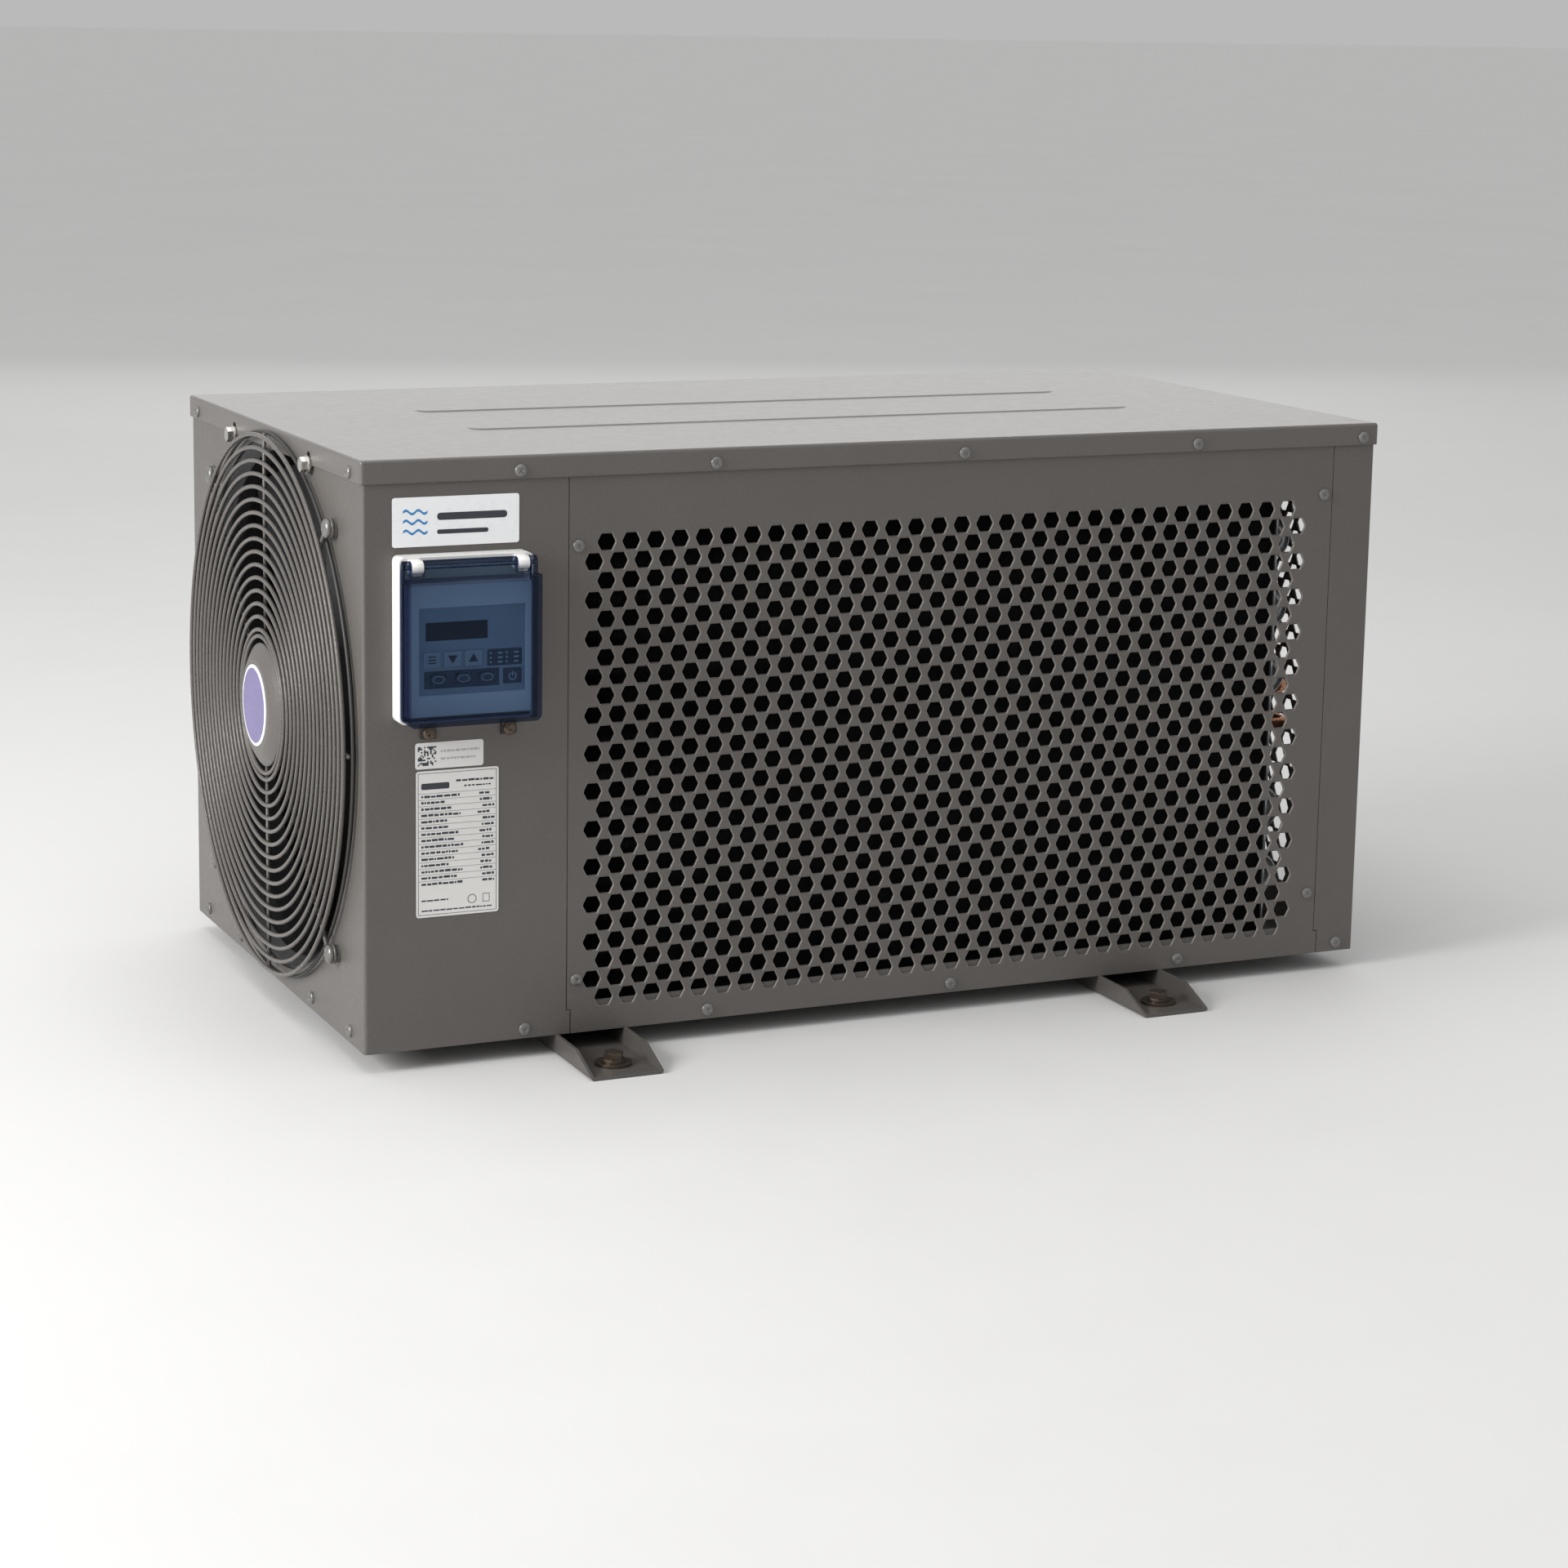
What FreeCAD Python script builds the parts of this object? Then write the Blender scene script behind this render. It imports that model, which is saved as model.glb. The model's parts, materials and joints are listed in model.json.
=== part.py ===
import FreeCAD, Part
import math
import os
import re

import Sketcher

# Pool and spa heat pump: a low, wide sheet-metal cabinet on two channel rails.
# Row frame: millimetres, +Z up, the origin at the centre of the footprint on the ground.
# The long perforated front faces -Y and the fan blows out through the narrow end at -X.

DIMENSIONS = {
    # cabinet
    "casing_width": 830.0,
    "casing_depth": 448.0,
    "casing_height": 426.0,
    "panel_thick": 1.2,
    "panel_gap": 0.3,
    "bend_radius": 2.5,
    "panel_headroom": 3.0,
    "lid_overhang": 2.0,
    "lid_flange": 17.0,
    "lid_corner": 3.0,
    "return_flange": 20.0,
    # seams of the front, measured from the cabinet's middle
    "seam_left": -262.0,
    "seam_right": 378.0,
    "seam_step": 3.0,
    "seam_step_height": 18.0,
    "seam_width": 0.6,
    # base pan and rails
    "pan_floor": 1.5,
    "pan_flange": 23.0,
    "rail_height": 15.0,
    "rail_width": 56.0,
    "rail_thick": 2.5,
    "rail_length": 592.0,
    "rail_bend": 3.0,
    "rail_chamfer": 32.0,
    "rail_left_x": -242.0,
    "rail_right_x": 210.0,
    "rail_bolt_inset": 28.0,
    # perforation
    "hole_pitch": 19.0,
    "row_pitch": 14.0,
    "hole_half_width": 7.1,
    "hole_half_height": 6.7,
    "grille_flange": 12.0,
    # fan, guard and motor
    "fan_y": -6.0,
    "fan_z": 230.0,
    "fan_opening": 201.0,
    "guard_radius": 204.0,
    "guard_pitch": 9.8,
    "guard_wire": 1.7,
    "guard_spoke": 1.6,
    "guard_rear": 1.4,
    "guard_standoff": 10.0,
    "guard_eye": 220.0,
    "cap_radius": 47.0,
    "badge_radius": 31.0,
    "badge_thick": 1.0,
    "fan_tip": 183.0,
    "hub_radius": 46.0,
    "hub_length": 42.0,
    "shaft_radius": 6.0,
    "motor_radius": 58.0,
    "motor_length": 78.0,
    "shroud_depth": 46.0,
    "bracket_spacing": 98.0,
    # control box
    "box_x": -344.0,
    "box_bottom": 256.0,
    "box_width": 99.0,
    "box_height": 118.0,
    "box_depth": 16.0,
    "box_wall": 2.4,
    "cover_depth": 20.0,
    "cover_step": 13.0,
    "cover_lap": 0.4,
    "hinge_drop": 6.0,
    "hinge_pin": 1.5,
    "hinge_knuckle": 4.8,
    "lug_offset": 39.0,
    "lug_width": 8.5,
    "key_travel": 0.8,
    # water unions
    "union_x": 60.0,
    "union_low": 105.0,
    "union_high": 315.0,
    "pipe_bore": 24.2,
    "socket_depth": 26.0,
    # coil
    "coil_left": -248.0,
    "coil_right": 338.0,
    "coil_front": -206.0,
    "coil_depth": 36.0,
    "coil_bottom": 30.0,
    "coil_height": 395.0,
}

doc = FreeCAD.newDocument("HeatPump")
dims = doc.addObject("Spreadsheet::Sheet", "dims")
for row, (alias, value) in enumerate(DIMENSIONS.items(), start=1):
    dims.set("A%d" % row, alias)
    dims.set("B%d" % row, str(value))
    dims.setAlias("B%d" % row, alias)
doc.recompute()

WORD = re.compile(r"[a-z_][a-z_0-9]*")
PARTS = []


def formula(text):
    """An expression for FreeCAD, with every name of the sheet given its sheet."""
    return WORD.sub(lambda m: "dims." + m.group() if m.group() in DIMENSIONS else m.group(), str(text))


def size(text):
    """The present value of a formula, for the few shapes that are not driven by expressions."""
    terms = re.findall(r"[a-z_][a-z_0-9]*|[0-9.]+|[-+*/()]", str(text))
    stack = [str(dims.get(word)) if word in DIMENSIONS else word for word in terms]
    return evaluate(stack)


def evaluate(terms):
    """Value of a list of numbers and signs, by the usual order of working."""
    def factor():
        term = terms.pop(0)
        if term == "-":
            return -factor()
        if term == "(":
            inside = total()
            terms.pop(0)
            return inside
        return float(term)

    def product():
        result = factor()
        while terms and terms[0] in "*/":
            if terms.pop(0) == "*":
                result *= factor()
            else:
                result /= factor()
        return result

    def total():
        result = product()
        while terms and terms[0] in ("+", "-"):
            if terms.pop(0) == "+":
                result += product()
            else:
                result -= product()
        return result

    return total()


TURN = {
    "+X": FreeCAD.Rotation(FreeCAD.Vector(0, 1, 0), 90),
    "-X": FreeCAD.Rotation(FreeCAD.Vector(0, 1, 0), -90),
    "+Y": FreeCAD.Rotation(FreeCAD.Vector(1, 0, 0), -90),
    "-Y": FreeCAD.Rotation(FreeCAD.Vector(1, 0, 0), 90),
    "+Z": FreeCAD.Rotation(),
    "-Z": FreeCAD.Rotation(FreeCAD.Vector(1, 0, 0), 180),
}


def place(obj, at, along="+Z"):
    """Turn an object's own +Z to a row direction and bind its base point to the sheet."""
    obj.Placement = FreeCAD.Placement(FreeCAD.Vector(), TURN[along])
    for axis, text in zip("xyz", at):
        obj.setExpression("Placement.Base." + axis, formula(text))
    return obj


def box(name, lengths, at):
    """A block from its lowest corner."""
    obj = doc.addObject("Part::Box", name)
    for prop, text in zip(("Length", "Width", "Height"), lengths):
        obj.setExpression(prop, formula(text))
    return place(obj, at)


def cylinder(name, radius, length, at, along="+Z"):
    """A cylinder from the centre of its first end."""
    obj = doc.addObject("Part::Cylinder", name)
    obj.setExpression("Radius", formula(radius))
    obj.setExpression("Height", formula(length))
    return place(obj, at, along)


def ring(name, radius, wire, at, along="+Z"):
    """A closed ring of round wire."""
    obj = doc.addObject("Part::Torus", name)
    obj.setExpression("Radius1", formula(radius))
    obj.setExpression("Radius2", formula(wire))
    return place(obj, at, along)


def hexagon(name, across_corners, height, at, along="+Z"):
    """A hexagonal prism, such as a bolt's head."""
    obj = doc.addObject("Part::Prism", name)
    obj.Polygon = 6
    obj.setExpression("Circumradius", formula(across_corners))
    obj.setExpression("Height", formula(height))
    return place(obj, at, along)


def fuse(name, pieces):
    obj = doc.addObject("Part::MultiFuse", name)
    obj.Shapes = pieces
    return obj


def group(name, pieces):
    """Separate solids that share one node."""
    obj = doc.addObject("Part::Compound", name)
    obj.Links = pieces
    return obj


def cut(name, base, tools):
    obj = doc.addObject("Part::Cut", name)
    obj.Base = base
    obj.Tool = tools[0] if len(tools) == 1 else group(name + "_tools", tools)
    return obj


def rounded(name, base, radius, chosen):
    """Round the edges of a base whose middle point passes a test."""
    doc.recompute()
    obj = doc.addObject("Part::Fillet", name)
    obj.Base = base
    value = size(radius)
    obj.Edges = [
        (number, value, value)
        for number, edge in enumerate(base.Shape.Edges, start=1)
        if chosen(edge)
    ]
    return obj


def upright(edge):
    """True for a straight edge that runs along Z."""
    ends = edge.BoundBox
    return ends.ZLength > 0.5 and ends.XLength < 1e-6 and ends.YLength < 1e-6


def part(label, obj):
    """Keep a finished object as the node of this name."""
    obj.Label = label
    PARTS.append(obj)
    return obj


def sketch(body, role, points, name):
    """A closed outline on one of a body's planes, each corner bound to the sheet."""
    outline = body.newObject("Sketcher::SketchObject", name)
    plane = next(item for item in body.Origin.OriginFeatures if item.Role == role)
    outline.AttachmentSupport = [(plane, "")]
    outline.MapMode = "FlatFace"
    corners = [(size(a), size(b)) for a, b in points]
    count = len(corners)
    for index, (across, up) in enumerate(corners):
        next_across, next_up = corners[(index + 1) % count]
        start = FreeCAD.Vector(across, up, 0)
        end = FreeCAD.Vector(next_across, next_up, 0)
        outline.addGeometry(Part.LineSegment(start, end), False)
    for index in range(count):
        outline.addConstraint(Sketcher.Constraint("Coincident", index, 2, (index + 1) % count, 1))
    for index, pair in enumerate(points):
        for kind, text, value in zip(("DistanceX", "DistanceY"), pair, corners[index]):
            number = outline.addConstraint(Sketcher.Constraint(kind, -1, 1, index, 1, value))
            outline.setExpression("Constraints[%d]" % number, formula(text))
    return outline


def padded(name, role, points, length, at, along="+Z"):
    """A body whose outline is padded equally to both sides of its plane."""
    body = doc.addObject("PartDesign::Body", name)
    outline = sketch(body, role, points, name + "_outline")
    pad = body.newObject("PartDesign::Pad", name + "_pad")
    pad.Profile = outline
    pad.Midplane = True
    pad.setExpression("Length", formula(length))
    return place(body, at, along)


def turned(name, points, at, along="+Z"):
    """A body turned about its own +Z from an outline of (radius, height) corners."""
    body = doc.addObject("PartDesign::Body", name)
    outline = sketch(body, "XZ_Plane", points, name + "_outline")
    spin = body.newObject("PartDesign::Revolution", name + "_spin")
    spin.Profile = outline
    spin.ReferenceAxis = (outline, ["V_Axis"])
    spin.Angle = 360
    return place(body, at, along)


def dome(radius, start, rise, steps=4):
    """Corners of a quarter-round crown from the rim in to the axis."""
    corners = []
    for step in range(steps + 1):
        angle = 90.0 * step / steps
        across = "(%s)*%.4f" % (radius, math.cos(math.radians(angle)))
        up = "%s+(%s)*%.4f" % (start, rise, math.sin(math.radians(angle)))
        corners.append((across, up))
    return corners


# Planes that several parts share.
LEFT = "-casing_width/2"
RIGHT = "casing_width/2"
FRONT = "-casing_depth/2"
REAR = "casing_depth/2"
FLOOR = "rail_height"
TOP = "(rail_height+casing_height)"
PANEL_HIGH = "(casing_height-panel_headroom)"


# ---------------------------------------------------------------- fasteners

SCREW_HEAD = 4.6
SCREW_SHANK = 1.9
SCREW_HOLE = 2.1
SCREW_LENGTH = 8.0


def pan_screw():
    """The tapping screw that closes the cabinet: its seat is at the origin, its head above."""
    head = [(SCREW_HEAD, 0), (SCREW_HEAD, 0.9), (4.1, 1.8), (3.1, 2.4), (0, 2.7)]
    shank = [(0, -SCREW_LENGTH), (SCREW_SHANK, -SCREW_LENGTH + 1.5), (SCREW_SHANK, 0)]
    return turned("pan_screw", shank + head, ("0", "0", "0"))


def copies(label, master, places):
    """A node of equal fasteners, each a separate solid: (x, y, z, outward direction)."""
    doc.recompute()
    solids = []
    for across, along, up, facing in places:
        solid = master.Shape.copy()
        solid.Placement = FreeCAD.Placement(FreeCAD.Vector(across, along, up), TURN[facing])
        solids.append(solid)
    obj = doc.addObject("Part::Feature", label)
    obj.Shape = Part.makeCompound(solids)
    return part(label, obj)


def drills(name, places, radius, length):
    """Cylinders that clear the fasteners at these places, half to each side of the seat."""
    back = {"+X": (-1, 0, 0), "-X": (1, 0, 0), "+Y": (0, -1, 0), "-Y": (0, 1, 0), "+Z": (0, 0, -1)}
    tools = []
    for number, (across, along, up, facing) in enumerate(places):
        start = [c + b * length / 2 for c, b in zip((across, along, up), back[facing])]
        tools.append(cylinder("%s_%d" % (name, number), radius, length, start, facing))
    return tools


half_width = size("casing_width/2")
half_depth = size("casing_depth/2")
ground = size(FLOOR)
lid_x = half_width + size("lid_overhang")
lid_y = half_depth + size("lid_overhang")
lid_screw_z = size(TOP) - 11.0
low_screw_z = ground + 7.0
side_screw_z = ground + 9.0

LID_SCREWS = (
    [(x, -lid_y, lid_screw_z, "-Y") for x in (-299, -149, 52, 253, 403)]
    + [(x, lid_y, lid_screw_z, "+Y") for x in (-385, -130, 130, 385)]
    + [(-lid_x, y, lid_screw_z, "-X") for y in (-200, 200)]
    + [(lid_x, y, lid_screw_z, "+X") for y in (-200, 0, 200)]
)
GRILLE_SCREWS = (
    [(-254.2, -half_depth, ground + z, "-Y") for z in (40, 359)]
    + [(370, -half_depth, ground + z, "-Y") for z in (50, 371)]
    + [(x, -half_depth, low_screw_z, "-Y") for x in (-150, 52, 252)]
)
COLUMN_SCREWS = [(x, -half_depth, low_screw_z, "-Y") for x in (-294, 399)]
LEFT_SCREWS = [(-half_width, y, side_screw_z, "-X") for y in (-190, -96, 96, 190)]
RIGHT_SCREWS = [(half_width, y, side_screw_z, "+X") for y in (-190, -96, 96, 190)]
REAR_SCREWS = (
    [(x, half_depth, low_screw_z, "+Y") for x in (-380, -250, -80, 80, 250, 380)]
    + [(x, half_depth, ground + z, "+Y") for x in (-404, 404) for z in (120, 300)]
)
COVER_SCREWS = [(half_width + 1.25, y, z, "+X") for y in (28, 212) for z in (64, 376)]
BOX_SCREWS = [(x, -half_depth - 3.0, 246.0, "-Y") for x in (-367.5, -307.5)]


# ---------------------------------------------------------------- base and rails

RAIL_INSET = "rail_length/2-rail_bolt_inset"


def foot_rail(label, centre):
    """A channel rail with upturned walls, cut down to its floor at both ends."""
    half = "rail_width/2"
    inner = "rail_width/2-rail_thick"
    outline = [
        ("-" + half, "0"), (half, "0"), (half, "rail_height"), (inner, "rail_height"),
        (inner, "rail_thick"), ("-(%s)" % inner, "rail_thick"),
        ("-(%s)" % inner, "rail_height"), ("-" + half, "rail_height"),
    ]
    body = doc.addObject("PartDesign::Body", label + "_body")
    pad = body.newObject("PartDesign::Pad", label + "_pad")
    pad.Profile = sketch(body, "XZ_Plane", outline, label + "_outline")
    pad.Midplane = True
    pad.setExpression("Length", formula("rail_length"))
    for end, sign in (("front", "-"), ("rear", "")):
        tip = sign + "rail_length/2"
        start = sign + "(rail_length/2-rail_chamfer)"
        beyond = sign + "(rail_length/2+5)"
        triangle = [
            (tip, "rail_thick"), (start, "rail_height"), (start, "rail_height+5"),
            (beyond, "rail_height+5"), (beyond, "rail_thick"),
        ]
        pocket = body.newObject("PartDesign::Pocket", "%s_%s_chamfer" % (label, end))
        pocket.Profile = sketch(body, "YZ_Plane", triangle, "%s_%s_triangle" % (label, end))
        pocket.Midplane = True
        pocket.setExpression("Length", formula("rail_width+10"))
    place(body, (centre, "0", "0"))
    bent = rounded(label + "_bent", body, "rail_bend", lambda edge: (
        edge.BoundBox.YLength > 500 and abs(edge.BoundBox.ZMin) < 1e-6
    ))
    holes = [
        cylinder("%s_hole_%s" % (label, end), 4.6, "rail_thick+2", (centre, y, "-1"))
        for end, y in (("front", "-(%s)" % RAIL_INSET), ("rear", RAIL_INSET))
    ]
    return part(label, cut(label, bent, holes))


def rail_fixings():
    """Hexagon bolts on large washers, one through each end of each rail."""
    bolts = []
    washers = []
    for number, (x, y) in enumerate(
        (x, y) for x in ("rail_left_x", "rail_right_x") for y in ("-(%s)" % RAIL_INSET, RAIL_INSET)
    ):
        name = "foot_bolt_%d" % number
        bolts.append(fuse(name, [
            hexagon(name + "_head", 7.5, 5.5, (x, y, "rail_thick+3.6")),
            cylinder(name + "_flange", 8.6, 1.6, (x, y, "rail_thick+2")),
            cylinder(name + "_shank", 4.0, "rail_thick+1.7", (x, y, "0.3")),
        ]))
        washer = "foot_washer_%d" % number
        washers.append(cut(washer, cylinder(washer + "_disc", 13.5, 2.0, (x, y, "rail_thick")), [
            cylinder(washer + "_hole", 4.3, 4.0, (x, y, "rail_thick-1")),
        ]))
    part("foot_bolts", group("foot_bolts", bolts))
    part("foot_washers", group("foot_washers", washers))


DRAIN = ("-150", "60")


def base_pan():
    """The tray that everything stands on, its flange turned up inside the panels."""
    inset = "(panel_thick+panel_gap)"
    outer = box("pan_outer", ("casing_width-2*" + inset, "casing_depth-2*" + inset, "pan_flange"),
                (LEFT + "+" + inset, FRONT + "+" + inset, FLOOR))
    wall = inset + "+pan_floor"
    inner = box("pan_inner", ("casing_width-2*(%s)" % wall, "casing_depth-2*(%s)" % wall, "pan_flange"),
                ("%s+%s" % (LEFT, wall), "%s+%s" % (FRONT, wall), "rail_height+pan_floor"))
    drain = cylinder("pan_drain", 8.3, 6, DRAIN + ("rail_height-2",))
    near = GRILLE_SCREWS + COLUMN_SCREWS + LEFT_SCREWS + RIGHT_SCREWS + REAR_SCREWS
    low = [item for item in near if item[2] < ground + size("pan_flange")]
    relief = cylinder("pan_relief", "fan_opening+8", 55, fan_axis("1"), "+X")
    hollow = cut("pan_hollow", outer, [inner, drain, relief])
    part("base_pan", cut("base_pan", hollow, drills("pan_drill", low, SCREW_HOLE, 12)))


def drain_spigot():
    """The condensate outlet: a flanged spout clipped up through the pan."""
    outline = [
        ("5.5", "-11.5"), ("7.4", "-11.5"), ("8", "-9.5"), ("8", "-2.3"), ("12", "-2.3"),
        ("12", "-0.2"), ("8", "-0.2"), ("8", "2"), ("9", "2.4"), ("8.6", "4.5"), ("5.5", "4.5"),
    ]
    part("drain_spigot", turned("drain_spigot", outline, DRAIN + ("rail_height",)))


# ---------------------------------------------------------------- cabinet panels


def hex_wire(centre, across, up):
    """One hexagonal hole, flat at the top and bottom, in the plane of two unit vectors."""
    wide = size("hole_half_width")
    flat = wide / 2.0
    tall = size("hole_half_height")
    corners = [(wide, 0), (flat, -tall), (-flat, -tall), (-wide, 0), (-flat, tall), (flat, tall)]
    points = [centre + across * a + up * b for a, b in corners]
    return Part.makePolygon(points + points[:1])


def perforated_face(name, outline, across, first, columns, rows, screws):
    """A flat sheet's face with staggered rows of hexagonal holes and holes for its screws."""
    up = FreeCAD.Vector(0, 0, 1)
    pitch = size("hole_pitch")
    inward = up.cross(across)
    wires = [Part.makePolygon(outline + outline[:1])]
    for x, y, z, _ in screws:
        depth = (FreeCAD.Vector(x, y, z) - first).dot(inward)
        centre = FreeCAD.Vector(x, y, z) - inward * depth
        wires.append(Part.Wire([Part.makeCircle(SCREW_HOLE, centre, inward)]))
    for row in range(rows):
        inset = (row + 1) % 2
        for column in range(columns - inset):
            shift = across * (pitch * (column + inset / 2.0)) + up * (row * size("row_pitch"))
            wires.append(hex_wire(first + shift, across, up))
    obj = doc.addObject("Part::Feature", name)
    obj.Shape = Part.Face(wires)
    return obj


def thickened(name, face, direction, thickness):
    obj = doc.addObject("Part::Extrusion", name)
    obj.Base = face
    obj.DirMode = "Custom"
    obj.Dir = direction
    obj.Solid = True
    obj.setExpression("LengthFwd", formula(thickness))
    return obj


GRILLE_COLUMNS = 32
GRILLE_ROWS = 25
FIRST_ROW = 25.0
FIRST_COLUMN = -242.25


def front_grille():
    """The long perforated panel, with a flange turned back at each side."""
    gap = size("seam_width")
    step = size("seam_step")
    low = ground
    knee = ground + size("seam_step_height")
    high = ground + size(PANEL_HIGH)
    left = size("seam_left") + gap
    right = size("seam_right") - gap
    corners = [
        (left + step, low), (right + step, low), (right + step, knee), (right, knee),
        (right, high), (left, high), (left, knee), (left + step, knee),
    ]
    outline = [FreeCAD.Vector(x, -half_depth, z) for x, z in corners]
    first = FreeCAD.Vector(FIRST_COLUMN, -half_depth, ground + FIRST_ROW)
    screws = GRILLE_SCREWS + [item for item in LID_SCREWS if item[3] == "-Y" and left < item[0] < right]
    face = perforated_face("grille_face", outline, FreeCAD.Vector(1, 0, 0), first,
                           GRILLE_COLUMNS, GRILLE_ROWS, screws)
    sheet = thickened("grille_sheet", face, FreeCAD.Vector(0, 1, 0), "panel_thick")
    flanges = [
        box("grille_flange_" + side, ("panel_thick", "grille_flange", PANEL_HIGH + "-60"),
            (x, FRONT + "+panel_thick", "rail_height+40"))
        for side, x in (("left", "seam_left+seam_width"),
                        ("right", "seam_right-seam_width-panel_thick"))
    ]
    part("front_grille", group("front_grille", [sheet] + flanges))


def fan_axis(offset):
    """A point on the fan's axis, at a distance outward from the left end of the cabinet."""
    return ("%s-(%s)" % (LEFT, offset), "fan_y", "fan_z")


GUARD_ANGLES = (45, 135, 225, 315)


def around_fan(radius, angle):
    """Row coordinates across the fan at a radius and an angle from +Y."""
    turn = math.radians(angle)
    return size("fan_y") + radius * math.cos(turn), size("fan_z") + radius * math.sin(turn)


GUARD_BOLTS = [
    (-half_width,) + around_fan(size("guard_eye"), angle) + ("-X",) for angle in GUARD_ANGLES
]
bracket_z = size(TOP) - size("lid_flange")
BRACKET_BOLTS = [
    (-half_width, size("fan_y") + side * size("bracket_spacing"), bracket_z, "-X") for side in (-1, 1)
]


def end_panel(name, side, front_width, holes):
    """A cabinet end that wraps round on to the front and the rear."""
    at_left = side < 0
    outer = LEFT if at_left else RIGHT + "-panel_thick"
    plate = box(name + "_plate", ("panel_thick", "casing_depth", PANEL_HIGH), (outer, FRONT, FLOOR))
    front_x = LEFT if at_left else "%s-(%s)" % (RIGHT, front_width)
    front = box(name + "_front", (front_width, "panel_thick", PANEL_HIGH), (front_x, FRONT, FLOOR))
    pieces = [plate, front]
    if at_left:
        pieces.append(box(name + "_step", ("seam_step+5", "panel_thick", "seam_step_height-seam_width"),
                          ("seam_left-5", FRONT, FLOOR)))
    rear_x = LEFT if at_left else RIGHT + "-return_flange"
    pieces.append(box(name + "_rear", ("return_flange", "panel_thick", PANEL_HIGH),
                      (rear_x, REAR + "-panel_thick", FLOOR)))
    whole = fuse(name + "_whole", pieces)
    corner = half_width - 1e-3
    bent = rounded(name + "_bent", whole, "bend_radius", lambda edge: (
        upright(edge) and abs(edge.BoundBox.XMin) > corner
        and abs(edge.BoundBox.YMin) > half_depth - 1e-3
    ))
    return cut(name, bent, holes)


def beside(screws, low, high):
    """The screws whose X lies between two limits."""
    return [item for item in screws if low < item[0] < high]


def left_side_panel():
    """The fan's end: one sheet, with the air outlet, that also makes the front's left column."""
    opening = cylinder("air_outlet", "fan_opening", 10, fan_axis("5"), "+X")
    holes = [opening] + drills("guard_drill", GUARD_BOLTS, 2.7, 8)
    holes += drills("bracket_drill", BRACKET_BOLTS, 3.2, 8)
    front = beside(COLUMN_SCREWS + BOX_SCREWS + LID_SCREWS[:5], -half_width, size("seam_left"))
    rear = beside(REAR_SCREWS, -half_width, -half_width + size("return_flange"))
    top = [item for item in LID_SCREWS if item[3] == "-X"]
    holes += drills("left_drill", LEFT_SCREWS + front + rear + top, SCREW_HOLE, 9)
    part("left_side_panel", end_panel("left_side_panel", -1, "seam_left+casing_width/2", holes))


SIDE_COLUMNS = 11
SIDE_FIRST_Y = -202.0
SIDE_ROWS = 23


def right_side_panel():
    """The far end, perforated in its front half where air reaches the coil's end."""
    low = ground + FIRST_ROW
    high = low + size("row_pitch") * (SIDE_ROWS + 1)
    front = SIDE_FIRST_Y - 13.0
    back = SIDE_FIRST_Y + size("hole_pitch") * (SIDE_COLUMNS - 1) + 13.0
    corners = [(front, low), (back, low), (back, high), (front, high)]
    outline = [FreeCAD.Vector(half_width, y, z) for y, z in corners]
    first = FreeCAD.Vector(half_width, SIDE_FIRST_Y, low + size("row_pitch"))
    face = perforated_face("right_face", outline, FreeCAD.Vector(0, 1, 0), first, SIDE_COLUMNS, SIDE_ROWS, [])
    sheet = thickened("right_sheet", face, FreeCAD.Vector(-1, 0, 0), "panel_thick")
    column = beside(COLUMN_SCREWS + LID_SCREWS[:5], size("seam_right"), half_width)
    rear = beside(REAR_SCREWS, half_width - size("return_flange"), half_width)
    top = [item for item in LID_SCREWS if item[3] == "+X"]
    holes = drills("right_drill", RIGHT_SCREWS + COVER_SCREWS + column + rear + top, SCREW_HOLE, 9)
    holes.append(box("right_step", ("seam_step+5", "panel_thick+2", "seam_step_height+seam_width+2"),
                     ("seam_right-5", FRONT + "-1", "rail_height-2")))
    holes.append(box("right_window", (8, back - front, high - low), (RIGHT + "-4", front, low)))
    frame = end_panel("right_frame", 1, "casing_width/2-seam_right", holes)
    part("right_side_panel", group("right_side_panel", [frame, sheet]))


GLANDS_X = (250, 300)
GLAND_Z = 392.0


def rear_panel():
    """The plain back, with its water and cable openings and a row of vents."""
    wide = "casing_width-2*return_flange-2*seam_width"
    plate = box("rear_plate", (wide, "panel_thick", PANEL_HIGH),
                (LEFT + "+return_flange+seam_width", REAR + "-panel_thick", FLOOR))
    lap = [
        box("rear_lap_%d" % number, ("return_flange", "panel_thick", "%s-pan_flange-4" % PANEL_HIGH),
            (x, REAR + "-2*panel_thick-panel_gap", "rail_height+pan_flange+2"))
        for number, x in enumerate((LEFT + "+panel_thick+2", RIGHT + "-return_flange-panel_thick-2"))
    ]
    joggle = [
        box("rear_joggle_%d" % number, (6, "2*panel_thick+panel_gap", "%s-pan_flange-4" % PANEL_HIGH),
            (x, REAR + "-2*panel_thick-panel_gap", "rail_height+pan_flange+2"))
        for number, x in enumerate((LEFT + "+return_flange+seam_width", RIGHT + "-return_flange-seam_width-6"))
    ]
    whole = fuse("rear_whole", [plate] + lap + joggle)
    top = [item for item in LID_SCREWS if item[3] == "+Y"]
    holes = drills("rear_drill", REAR_SCREWS + top, SCREW_HOLE, 10)
    for number, z in enumerate(("union_low", "union_high")):
        holes.append(cylinder("tail_opening_%d" % number, 25, 12, ("union_x", REAR + "-6", z), "+Y"))
    for number, x in enumerate(GLANDS_X):
        holes.append(cylinder("gland_opening_%d" % number, 10.2, 12, (x, REAR + "-6", GLAND_Z), "+Y"))
    for number in range(12):
        x = 190 + 16 * number
        holes.append(box("vent_%d" % number, (7, 12, 46), (x, REAR + "-6", 250)))
    part("rear_panel", cut("rear_panel", whole, holes))


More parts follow.
